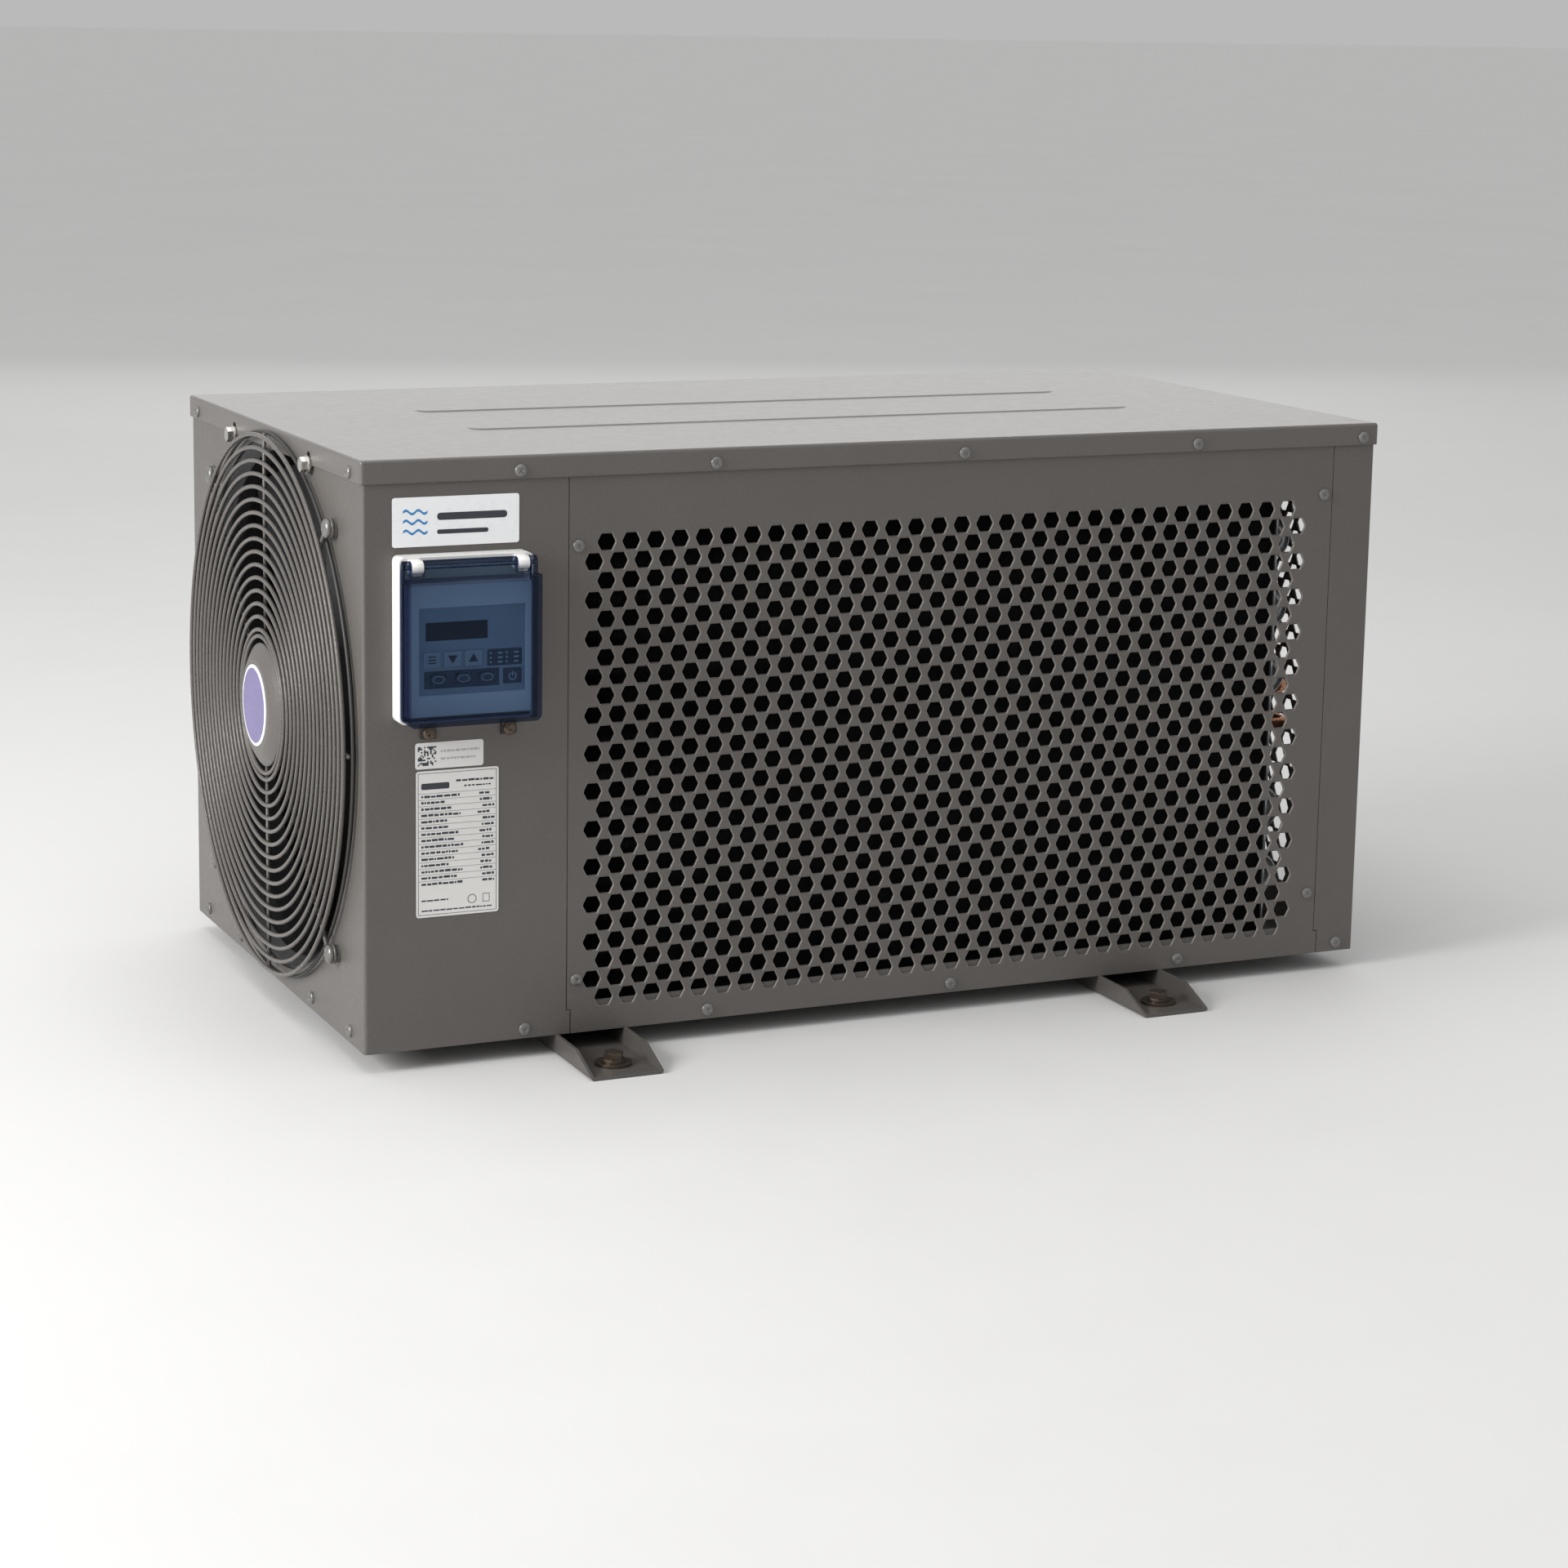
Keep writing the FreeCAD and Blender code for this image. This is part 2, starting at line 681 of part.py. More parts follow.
def lid():
    """The top: a folded tray with flanges all round, stiffened by pressed beads."""
    outer = box("lid_outer", ("casing_width+2*lid_overhang", "casing_depth+2*lid_overhang", "lid_flange"),
                (LEFT + "-lid_overhang", FRONT + "-lid_overhang", TOP + "-lid_flange"))
    soft = rounded("lid_soft", outer, "lid_corner", upright)
    inside = "(lid_overhang-panel_thick)"
    inner = box("lid_inner", ("casing_width+2*" + inside, "casing_depth+2*" + inside, "lid_flange"),
                (LEFT + "-" + inside, FRONT + "-" + inside, TOP + "-lid_flange-panel_thick"))
    beads = []
    for number in range(2):
        y = 62 - 124 * number
        bead = box("lid_bead_%d" % number, (560, 22, 1.0), ("-280", y - 11, TOP + "-0.1"))
        beads.append(rounded("lid_bead_soft_%d" % number, bead, "10.5", upright))
    crown = fuse("lid_crown", [soft] + beads)
    notches = []
    for number, (_, y, z, _) in enumerate(BRACKET_BOLTS):
        notches.append(box("notch_%d" % number, (6, 9, 9), (LEFT + "-5", y - 4.5, z - 4)))
        notches.append(cylinder("notch_top_%d" % number, 4.5, 6, (LEFT + "-5", y, z + 5), "+X"))
    holes = drills("lid_drill", LID_SCREWS, SCREW_HOLE, 8)
    hollow = cut("lid_hollow", crown, [inner])
    part("lid", cut("lid", hollow, notches + holes))


def service_cover():
    """A shallow raised cover over the electrical opening in the far end."""
    rim = box("service_rim", (1.2, 200, 336), (RIGHT + "+0.05", "20", "52"))
    raised = box("service_raised", (17, 176, 310), (RIGHT, "32", "65"))
    soft = rounded("service_soft", raised, "8", lambda edge: (
        edge.BoundBox.XLength > 10 and edge.BoundBox.YLength < 1e-6
    ))
    gap = box("service_gap", (1, 210, 350), (RIGHT + "-0.95", "15", "45"))
    inner = box("service_inner", (15.5, 170, 304), (RIGHT, "35", "68"))
    tools = [gap, inner]
    for number in range(6):
        tools.append(box("service_louvre_%d" % number, (6, 90, 5), (RIGHT + "+13", "75", 300 - 14 * number)))
    tools += drills("service_drill", COVER_SCREWS, SCREW_HOLE, 10)
    part("service_cover", cut("service_cover", fuse("service_whole", [rim, soft]), tools))


def partition():
    """The plate that parts the air side from the machine compartment behind it."""
    tall = "%s-10" % PANEL_HIGH
    low = "rail_height+pan_floor+0.3"
    along = box("partition_along", ("casing_width/2+60-4", 1.2, tall), ("-60", "8", low))
    across = box("partition_across", (1.2, "casing_depth/2-8-2*panel_thick-2", tall), ("-60", "8", low))
    opening = box("partition_opening", (60, 12, 90), ("345", "2", "150"))
    whole = fuse("partition_whole", [along, across])
    part("partition", cut("partition", whole, [opening]))


# ---------------------------------------------------------------- coil


PIPED_TUBES = (5, 6)


def evaporator():
    """The finned coil behind the grille, its end plates and its return bends."""
    part("evaporator_fins", box("evaporator_fins", ("coil_right-coil_left", "coil_depth", "coil_height"),
                                ("coil_left", "coil_front", "coil_bottom")))
    plates = [
        box("coil_plate_" + side, (1.5, "coil_depth+4", "coil_height+2"), (x, "coil_front-2", "coil_bottom-2"))
        for side, x in (("left", "coil_left-1.5"), ("right", "coil_right"))
    ]
    bends = []
    for side, x, start in (("left", "coil_left-1.5", 90.0), ("right", "coil_right+1.5", -90.0)):
        for number in range(14):
            if side == "right" and number in PIPED_TUBES:
                continue
            bend = doc.addObject("Part::Torus", "return_bend_%s_%d" % (side, number))
            bend.setExpression("Radius1", "12.7")
            bend.setExpression("Radius2", "4.8")
            bend.Angle3 = 180
            turn = FreeCAD.Rotation(FreeCAD.Vector(1, 0, 0), 90)
            spin = FreeCAD.Rotation(FreeCAD.Vector(0, 0, 1), start)
            bend.Placement = FreeCAD.Placement(FreeCAD.Vector(), turn.multiply(spin))
            column = "coil_front+%d" % (10 if number % 2 else 26)
            for axis, text in zip("xyz", (x, column, "coil_bottom+%s" % (20 + 27.2 * number))):
                bend.setExpression("Placement.Base." + axis, formula(text))
            bends.append(bend)
    part("evaporator_ends", group("evaporator_ends", plates + bends))


# ---------------------------------------------------------------- fan side


def fan_guard():
    """Concentric wires on eight spokes, a rear ring and four eyes for its bolts."""
    front = "guard_standoff"
    middle = "guard_standoff-guard_wire-guard_spoke"
    back = "guard_standoff-guard_wire-2*guard_spoke-guard_rear"
    wires = []
    for number in range(16):
        radius = "guard_radius-guard_pitch*%d" % number
        wires.append(ring("guard_ring_%d" % number, radius, "guard_wire", fan_axis(front), "-X"))
    wires.append(ring("guard_ring_inner", "guard_radius-guard_pitch*15.5", "guard_wire", fan_axis(front), "-X"))
    wires.append(ring("guard_rear_ring", "guard_radius+2", "guard_rear", fan_axis(back), "-X"))
    for number in range(8):
        angle = 45 * number
        reach = size("guard_eye") - 7.2 if number % 2 else size("guard_radius") + 2
        spoke = doc.addObject("Part::Cylinder", "guard_spoke_%d" % number)
        spoke.setExpression("Radius", formula("guard_spoke"))
        spoke.Height = reach - 36.0
        turn = FreeCAD.Rotation(FreeCAD.Vector(1, 0, 0), angle - 90)
        spoke.Placement = FreeCAD.Placement(FreeCAD.Vector(), turn)
        y, z = around_fan(36.0, angle)
        for axis, text in zip("xyz", (fan_axis(middle)[0], y, z)):
            spoke.setExpression("Placement.Base." + axis, formula(text))
        wires.append(spoke)
    for number, (_, y, z, _) in enumerate(GUARD_BOLTS):
        wires.append(ring("guard_eye_%d" % number, "6.2", "guard_rear", (fan_axis(back)[0], y, z), "-X"))
    part("fan_guard", group("fan_guard", wires))


def guard_cap():
    """The dished cap at the guard's middle and the plain round badge on it."""
    rise = "guard_standoff-1.4"
    outline = [
        ("0", rise + "+7.4"), ("badge_radius+1.5", rise + "+7.4"), ("badge_radius+6", rise + "+6.4"),
        ("cap_radius-5", rise + "+3.6"), ("cap_radius", rise), ("cap_radius-1.8", rise),
        ("cap_radius-6.5", rise + "+2.2"), ("badge_radius+5", rise + "+5"), ("badge_radius", rise + "+6"),
        ("0", rise + "+6"),
    ]
    part("guard_cap", turned("guard_cap", outline, fan_axis("0"), "-X"))
    part("guard_badge", cylinder("guard_badge", "badge_radius", "badge_thick", fan_axis(rise + "+7.4"), "-X"))


def guard_bolts():
    """Domed bolts with spacers that clamp the eyes of the guard to the cabinet."""
    outline = [
        ("0", "-7"), ("2.4", "-7"), ("2.4", "0"), ("6.5", "0"), ("6.5", "2.2"), ("2.4", "2.2"),
        ("2.4", "5.2"), ("7", "5.2"), ("7", "6"), ("6.2", "7.3"), ("4.4", "8.8"), ("2", "9.6"), ("0", "9.8"),
    ]
    copies("guard_bolts", turned("guard_bolt", outline, ("0", "0", "0")), GUARD_BOLTS)


def bracket_bolts():
    """Zinc hexagon bolts that hang the motor bracket, in the notches of the lid."""
    outline = [("0", "-7"), ("3", "-7"), ("3", "2.4"), ("7", "2.4"), ("7", "3.8"), ("0", "3.8")]
    whole = fuse("bracket_bolt", [
        turned("bracket_bolt_shank", outline, ("0", "0", "0")),
        hexagon("bracket_bolt_head", 5.8, 5, ("0", "0", "3.7")),
    ])
    copies("bracket_bolts", whole, BRACKET_BOLTS)


def fan_shroud():
    """The bell-mouthed ring round the fan, fixed behind the outlet."""
    outline = [
        ("fan_opening+6", "-0.2"), ("fan_opening+6", "-1.7"), ("fan_opening-1.5", "-1.7"),
        ("fan_opening-8", "-9"), ("fan_opening-10", "-20"), ("fan_opening-10", "-shroud_depth"),
        ("fan_opening-11.5", "-shroud_depth"), ("fan_opening-11.5", "-20"), ("fan_opening-9.5", "-8.5"),
        ("fan_opening-2.5", "-0.2"),
    ]
    whole = turned("shroud_whole", outline, fan_axis("-panel_thick"), "-X")
    notches = [
        box("shroud_notch_%d" % number, (8, 28, 32), (LEFT + "-1", y - 14, bracket_z - 13))
        for number, (_, y, _, _) in enumerate(BRACKET_BOLTS)
    ]
    part("fan_shroud", cut("fan_shroud", whole, notches))


MOTOR_FRONT = "-66"
MOTOR_REAR = "-(66+motor_length)"


def motor_bracket():
    """Two upright straps tied by a plate that carries the motor, with arms to the cabinet end."""
    strap = 25.0
    back = "%s+66+motor_length" % LEFT
    pieces = [box("bracket_plate", (2, "2*bracket_spacing", 96), (back, "fan_y-bracket_spacing", "fan_z-48"))]
    for number, side in enumerate(("-", "+")):
        y = "fan_y%sbracket_spacing-%s" % (side, strap / 2)
        pieces.append(box("bracket_strap_%d" % number, (2, strap, bracket_z - 10 - ground - 2), (back, y, ground + 2)))
        pieces.append(box("bracket_foot_%d" % number, (18, strap, 2), (back, y, ground + 2)))
        pieces.append(box("bracket_arm_%d" % number, ("66+motor_length+2-panel_thick-0.3", strap, 2),
                          (LEFT + "+panel_thick+0.3", y, bracket_z - 10)))
        pieces.append(box("bracket_tab_%d" % number, (2, strap, 19), (LEFT + "+panel_thick+0.3", y, bracket_z - 10)))
    whole = fuse("bracket_whole", pieces)
    holes = drills("bracket_hole", BRACKET_BOLTS, 3.2, 16)
    part("motor_bracket", cut("motor_bracket", whole, holes))


def fan_motor():
    """The sealed motor, bored for its shaft."""
    outline = [
        ("shaft_radius+0.05", "0"), ("16", "0"), ("16", "-5"), ("motor_radius-12", "-7"), ("motor_radius-3", "-12"),
        ("motor_radius", "-18"), ("motor_radius", "-motor_length"), ("0", "-motor_length"),
        ("0", "-motor_length+6"), ("shaft_radius+0.05", "-motor_length+6"),
    ]
    part("fan_motor", turned("fan_motor", outline, fan_axis(MOTOR_FRONT), "-X"))


FAN_BACK = "-58"


def fan_rotor():
    """The shaft, the hub on it, five swept blades and the nut that holds them on."""
    part("fan_shaft", cylinder("fan_shaft", "shaft_radius", "motor_length+46", fan_axis("-(66+motor_length-7)"), "-X"))
    outline = [
        ("shaft_radius", "0"), ("hub_radius-3", "0"), ("hub_radius", "3"), ("hub_radius", "hub_length-6"),
        ("hub_radius-6", "hub_length"), ("20", "hub_length"), ("18", "hub_length-3"), ("shaft_radius", "hub_length-3"),
    ]
    hub = turned("hub_moulding", outline, fan_axis(FAN_BACK), "-X")
    nut = hexagon("fan_nut_hex", 9.5, 7, fan_axis(FAN_BACK + "+hub_length-3"), "-X")
    bore = cylinder("fan_nut_bore", "shaft_radius", 9, fan_axis(FAN_BACK + "+hub_length-4"), "-X")
    part("fan_hub", group("fan_hub", [hub, cut("fan_nut", nut, [bore])]))
    rim = cylinder("blade_tips", "fan_tip", 70, fan_axis(FAN_BACK + "-14"), "-X")
    core = cylinder("blade_roots", "hub_radius", 80, fan_axis(FAN_BACK + "-19"), "-X")
    span = cut("blade_span", rim, [core])
    trimmed = []
    for number in range(5):
        blade = doc.addObject("Part::Common", "blade_trimmed_%d" % number)
        blade.Base = fan_blade("blade_%d" % number, 72.0 * number)
        blade.Tool = span
        trimmed.append(blade)
    part("fan_blades", group("fan_blades", trimmed))


def fan_blade(name, turn):
    """One blade: three pitched sections lofted outward, each swept forward of the last."""
    sections = []
    for radius, chord, pitch, sweep in ((32, 50, 46, 0), (110, 92, 30, 8), (186, 108, 20, 20)):
        sections.append(blade_section(radius, chord, math.radians(pitch), math.radians(sweep)))
    loft = Part.makeLoft(sections, True, False)
    loft.rotate(FreeCAD.Vector(), FreeCAD.Vector(1, 0, 0), turn)
    obj = doc.addObject("Part::Feature", name)
    obj.Shape = loft
    return place(obj, fan_axis(FAN_BACK + "+hub_length/2"))


def blade_section(radius, chord, pitch, sweep):
    """A thin cambered section across one radius of the fan."""
    corners = []
    stations = [step / 6.0 - 0.5 for step in range(7)]
    for side, row in ((0.9, stations), (-0.9, stations[::-1])):
        for along in row:
            bulge = 5.0 * (1.0 - 4.0 * along * along) + side
            axial = chord * along * math.sin(pitch) + bulge * math.cos(pitch)
            around = chord * along * math.cos(pitch) - bulge * math.sin(pitch)
            y = radius * math.sin(sweep) + around * math.cos(sweep)
            z = radius * math.cos(sweep) - around * math.sin(sweep)
            corners.append(FreeCAD.Vector(-axial, y, z))
    return Part.makePolygon(corners + corners[:1])


# ---------------------------------------------------------------- control box

BOX_LEFT = "(box_x-box_width/2)"
BOX_TOP = "(box_bottom+box_height)"
HINGE = ("%s-box_depth-6" % FRONT, BOX_TOP + "-hinge_drop")
LUGS = ("box_x-lug_offset", "box_x+lug_offset")


def control_box_base():
    """The white tray on the front, with two lugs that hold the cover's hinge pin."""
    outer = box("box_outer", ("box_width", "box_depth", "box_height"), (BOX_LEFT, FRONT + "-box_depth", "box_bottom"))
    soft = rounded("box_soft", outer, "4", lambda edge: (
        edge.BoundBox.YLength > 5 and edge.BoundBox.XLength < 1e-6
    ))
    inner = box("box_inner", ("box_width-2*box_wall", "box_depth", "box_height-2*box_wall"),
                (BOX_LEFT + "+box_wall", FRONT + "-box_depth-box_wall", "box_bottom+box_wall"))
    tray = cut("box_tray", soft, [inner])
    pieces = [tray]
    for number, x in enumerate(LUGS):
        pieces.append(box("lug_arm_%d" % number, ("lug_width", 10, "2*hinge_knuckle"),
                          (x + "-lug_width/2", HINGE[0], HINGE[1] + "-hinge_knuckle")))
        pieces.append(cylinder("lug_eye_%d" % number, "hinge_knuckle", "lug_width",
                               (x + "-lug_width/2",) + HINGE, "+X"))
    for number, (x, _, _, _) in enumerate(BOX_SCREWS):
        pieces.append(box("box_ear_%d" % number, (11, 3, 16), (x - 5.5, FRONT + "-3", "box_bottom-14")))
    whole = fuse("box_whole", pieces)
    bore = cylinder("lug_bore", "hinge_pin+0.02", "box_width+10", (BOX_LEFT + "-5",) + HINGE, "+X")
    holes = drills("ear_hole", BOX_SCREWS, SCREW_HOLE, 8)
    part("control_box_base", cut("control_box_base", whole, [bore] + holes))


def cover_hinge_pin():
    """The wire pin, clipped in the lugs, that the cover turns on."""
    part("cover_hinge_pin", cylinder("cover_hinge_pin", "hinge_pin", "box_width-6", (BOX_LEFT + "+3",) + HINGE, "+X"))


def control_box_cover():
    """The clear flip-up cover: side profile, hollowed from behind and notched round the lugs."""
    rear = "%s-box_depth-cover_lap" % FRONT
    front = "%s-box_depth-cover_depth" % FRONT
    knuckle = "hinge_knuckle"
    crown = []
    for angle in (180, 150, 120, 90, 60, 30, 0):
        turn = math.radians(angle)
        crown.append(("%s+%s*%.4f" % (HINGE[0], knuckle, math.cos(turn)),
                      "%s+%s*%.4f" % (HINGE[1], knuckle, math.sin(turn))))
    outline = [
        (rear, "box_bottom+1"), (front, "box_bottom+1"), (front, BOX_TOP + "-cover_step"),
        ("%s-%s" % (HINGE[0], knuckle), BOX_TOP + "-cover_step"),
    ] + crown + [(rear, HINGE[1] + "-hinge_knuckle")]
    block = padded("cover_block", "YZ_Plane", outline, "box_width-1", ("box_x", "0", "0"))
    soft = rounded("cover_soft", block, "5", lambda edge: (
        edge.BoundBox.YLength > 15 and edge.BoundBox.ZMax < size("box_bottom") + 2
        and abs(edge.BoundBox.XLength) < 1e-6
    ))
    inner = box("cover_inner", ("box_width-1-2*box_wall", "cover_depth", "box_height-cover_step-1-2*box_wall"),
                (BOX_LEFT + "+0.5+box_wall", front + "+box_wall", "box_bottom+1+box_wall"))
    tools = [inner, box("cover_back", ("box_width-1-2*box_wall", 8, "cover_step"),
                        (BOX_LEFT + "+0.5+box_wall", HINGE[0] + "+hinge_knuckle-3", BOX_TOP + "-cover_step-5.4"))]
    for number, x in enumerate(LUGS):
        tools.append(box("cover_notch_%d" % number, ("lug_width+1", 24, 22),
                         (x + "-lug_width/2-0.5", HINGE[0] + "-hinge_knuckle-0.5", BOX_TOP + "-cover_step+0.4")))
    tools.append(cylinder("cover_bore", "hinge_pin+0.06", "box_width+10", (BOX_LEFT + "-5",) + HINGE, "+X"))
    part("control_box_cover", cut("control_box_cover", soft, tools))


# Controller face, in the cabinet's own X and Z.
FACE_Y = "%s-23" % FRONT
KEYS = {
    "key_mode": (-371.8, 302.2, 12.8, 11.2),
    "key_down": (-356.6, 302.2, 13.2, 11.2),
    "key_up": (-341.3, 302.2, 13.2, 11.2),
    "key_first_option": (-367.0, 288.0, 12.0, 7.4),
    "key_second_option": (-348.5, 288.0, 12.0, 7.4),
    "key_third_option": (-331.0, 288.0, 12.0, 7.4),
    "key_power": (-312.3, 288.0, 13.4, 10.6),
}
KEY_CLEAR = 0.3


def controller():
    """The controller: a moulded face with a sunken panel, its display and its keys."""
    body = box("controller_block", ("box_width-2*box_wall-3", "23-box_wall", "box_height-25"),
               (BOX_LEFT + "+box_wall+1.5", FACE_Y, "box_bottom+6"))
    sunken = box("controller_sunken", (79, 5, 62), (-381.4, FACE_Y + "-4", 277))
    tools = [sunken, box("display_seat", (46, 4, 13.4), (-376.5, FACE_Y, 315.4))]
    for name, (x, z, wide, tall) in KEYS.items():
        clear = 2 * KEY_CLEAR
        tools.append(box(name + "_well", (wide + clear, 6, tall + clear),
                         (x - wide / 2 - KEY_CLEAR, FACE_Y, z - tall / 2 - KEY_CLEAR)))
    part("controller_body", cut("controller_body", body, tools))
    part("controller_display", box("controller_display", (45.6, 2.9, 13), (-376.3, FACE_Y + "+1.1", 315.6)))
    for name, (x, z, wide, tall) in KEYS.items():
        block = box(name + "_cap", (wide, 4, tall), (x - wide / 2, FACE_Y + "+0.2", z - tall / 2))
        corner = 3.6 if "option" in name else 1.0
        soft = rounded(name, block, corner, lambda edge: edge.BoundBox.YLength > 3 and edge.BoundBox.XLength < 1e-6)
        part(name, soft)


def labels():
    """Plain stickers on the front column: name plate, serial label and rating label."""
    for name, left, low, wide, tall in (
        ("name_plate", -393.5, 379, 94, 35), ("serial_label", -377, 220, 51, 19),
        ("rating_label", -376.5, 112, 62, 106.5),
    ):
        block = box(name + "_sheet", (wide, 0.4, tall), (left, FRONT + "-0.4", low))
        soft = rounded(name, block, "2", lambda edge: edge.BoundBox.YLength > 0.3 and edge.BoundBox.XLength < 1e-6
                       and edge.BoundBox.ZLength < 1e-6)
        part(name, soft)


# ---------------------------------------------------------------- machine compartment

COMPRESSOR = (300.0, 112.0)


def compressor():
    """The hermetic compressor on three rubber feet, with its suction accumulator."""
    x, y = COMPRESSOR
    outline = [("0", "-5"), ("30", "-4"), ("57", "8"), ("59", "12")] + dome("59", "205", "26")
    shell = turned("compressor_shell", outline, (x, y, "rail_height+pan_floor+24"))
    plate = cylinder("compressor_plate", 84, 3, (x, y, "rail_height+pan_floor+15"))
    post = cylinder("compressor_post", 30, 12, (x, y, "rail_height+pan_floor+15"))
    whole = fuse("compressor_whole", [shell, plate, post])
    holes = []
    grommets = []
    bolts = []
    for number in range(3):
        angle = math.radians(30 + 120 * number)
        gx = x + 72 * math.cos(angle)
        gy = y + 72 * math.sin(angle)
        holes.append(cylinder("compressor_hole_%d" % number, 8.2, 8, (gx, gy, "rail_height+pan_floor+12")))
        outline = [("4.2", "0"), ("13", "0"), ("13", "14.8"), ("8", "15"), ("8", "18"), ("12", "18.2"),
                   ("11", "23"), ("4.2", "23")]
        grommets.append(turned("grommet_%d" % number, outline, (gx, gy, "rail_height+pan_floor")))
        bolts.append(fuse("compressor_bolt_%d" % number, [
            cylinder("compressor_stud_%d" % number, 4, 27, (gx, gy, "rail_height+pan_floor+0.2")),
            hexagon("compressor_nut_%d" % number, 7.5, 5, (gx, gy, "rail_height+pan_floor+23.2")),
        ]))
    part("compressor", cut("compressor", whole, holes))
    part("compressor_grommets", group("compressor_grommets", grommets))
    part("compressor_bolts", group("compressor_bolts", bolts))
    outline = [("0", "0"), ("24", "3"), ("29", "12")] + dome("29", "135", "14")
    part("accumulator", turned("accumulator", outline, (205, 130, 95)))


EXCHANGER_Y = 105.0


def water_side():
    """The water heat exchanger, its two tails through the back, and the unions on them."""
    shell = turned("exchanger_shell", [
        ("0", "0"), ("78", "0"), ("82", "4"), ("82", "26"), ("74", "30"), ("74", "292"), ("82", "296"),
        ("82", "316"), ("78", "320"), ("0", "320"),
    ], ("union_x", EXCHANGER_Y, "rail_height+pan_floor+20"))
    stand = cylinder("exchanger_stand", 60, 20, ("union_x", EXCHANGER_Y, "rail_height+pan_floor+0.2"))
    pieces = [shell, stand]
    bores = []
    for number, z in enumerate(("union_low", "union_high")):
        pieces.append(cylinder("tail_%d" % number, 23, "%s+16-(%s)" % (REAR, EXCHANGER_Y), ("union_x", EXCHANGER_Y, z), "+Y"))
        pieces.append(cylinder("tail_collar_%d" % number, 30.5, 6, ("union_x", REAR + "+10", z), "+Y"))
        bores.append(cylinder("tail_bore_%d" % number, 19, 60, ("union_x", REAR + "-40", z), "+Y"))
    whole = fuse("exchanger_whole", pieces)
    part("heat_exchanger", cut("heat_exchanger", whole, bores))
    socket = [
        ("19", "0"), ("30.5", "0"), ("30.5", "4.5"), ("28", "4.5"), ("28", "6+socket_depth"),
        ("pipe_bore", "6+socket_depth"), ("pipe_bore", "6"), ("19", "6"),
    ]
    nut = [
        ("31", "0"), ("36", "0"), ("38", "2"), ("38", "20"), ("36", "24"), ("28.4", "24"),
        ("28.4", "12.3"), ("31", "12.3"),
    ]
    sockets = []
    for name, z in (("inlet", "union_low"), ("outlet", "union_high")):
        sockets.append(turned("socket_" + name, socket, ("union_x", REAR + "+16.2", z), "+Y"))
        ribs = []
        plain = turned("union_nut_%s_ring" % name, nut, ("union_x", REAR + "+9", z), "+Y")
        for number in range(12):
            angle = math.radians(30 * number)
            across = "union_x+%.4f" % (39.3 * math.cos(angle))
            up = "%s+%.4f" % (z, 39.3 * math.sin(angle))
            ribs.append(cylinder("union_rib_%s_%d" % (name, number), 3.4, 18, (across, REAR + "+12", up), "+Y"))
        part("union_nut_" + name, cut("union_nut_" + name, plain, ribs))
    part("union_sockets", group("union_sockets", sockets))


def cable_glands():
    """Two nylon cable glands in the back, each bored for its cable."""
    glands = []
    for number, x in enumerate(GLANDS_X):
        outline = [
            ("5", "-9"), ("10", "-9"), ("10", "0.2"), ("15", "0.2"), ("15", "6"), ("13", "7"),
            ("13", "16"), ("9", "22"), ("5", "22"),
        ]
        glands.append(turned("cable_gland_%d" % number, outline, (x, REAR, GLAND_Z), "+Y"))
    part("cable_glands", group("cable_glands", glands))


def pipe_run(name, points, radius, bend):
    """A copper tube along straight runs joined by tangent bends of one radius."""
    nodes = [FreeCAD.Vector(*point) for point in points]
    edges = []
    start = nodes[0]
    for before, corner, after in zip(nodes, nodes[1:], nodes[2:]):
        inward = (corner - before).normalize()
        outward = (after - corner).normalize()
        turn = inward.getAngle(outward)
        reach = bend * math.tan(turn / 2.0)
        first = corner - inward * reach
        last = corner + outward * reach
        inside = (outward - inward).normalize()
        centre = corner + inside * (bend / math.cos(turn / 2.0))
        middle = centre - inside * bend
        edges.append(Part.LineSegment(start, first).toShape())
        edges.append(Part.Arc(first, middle, last).toShape())
        start = last
    edges.append(Part.LineSegment(start, nodes[-1]).toShape())
    spine = Part.Wire(edges)
    heading = (nodes[1] - nodes[0]).normalize()
    section = Part.Wire([Part.makeCircle(radius, nodes[0], heading)])
    obj = doc.addObject("Part::Feature", name)
    obj.Shape = spine.makePipeShell([section], True, False)
    return obj


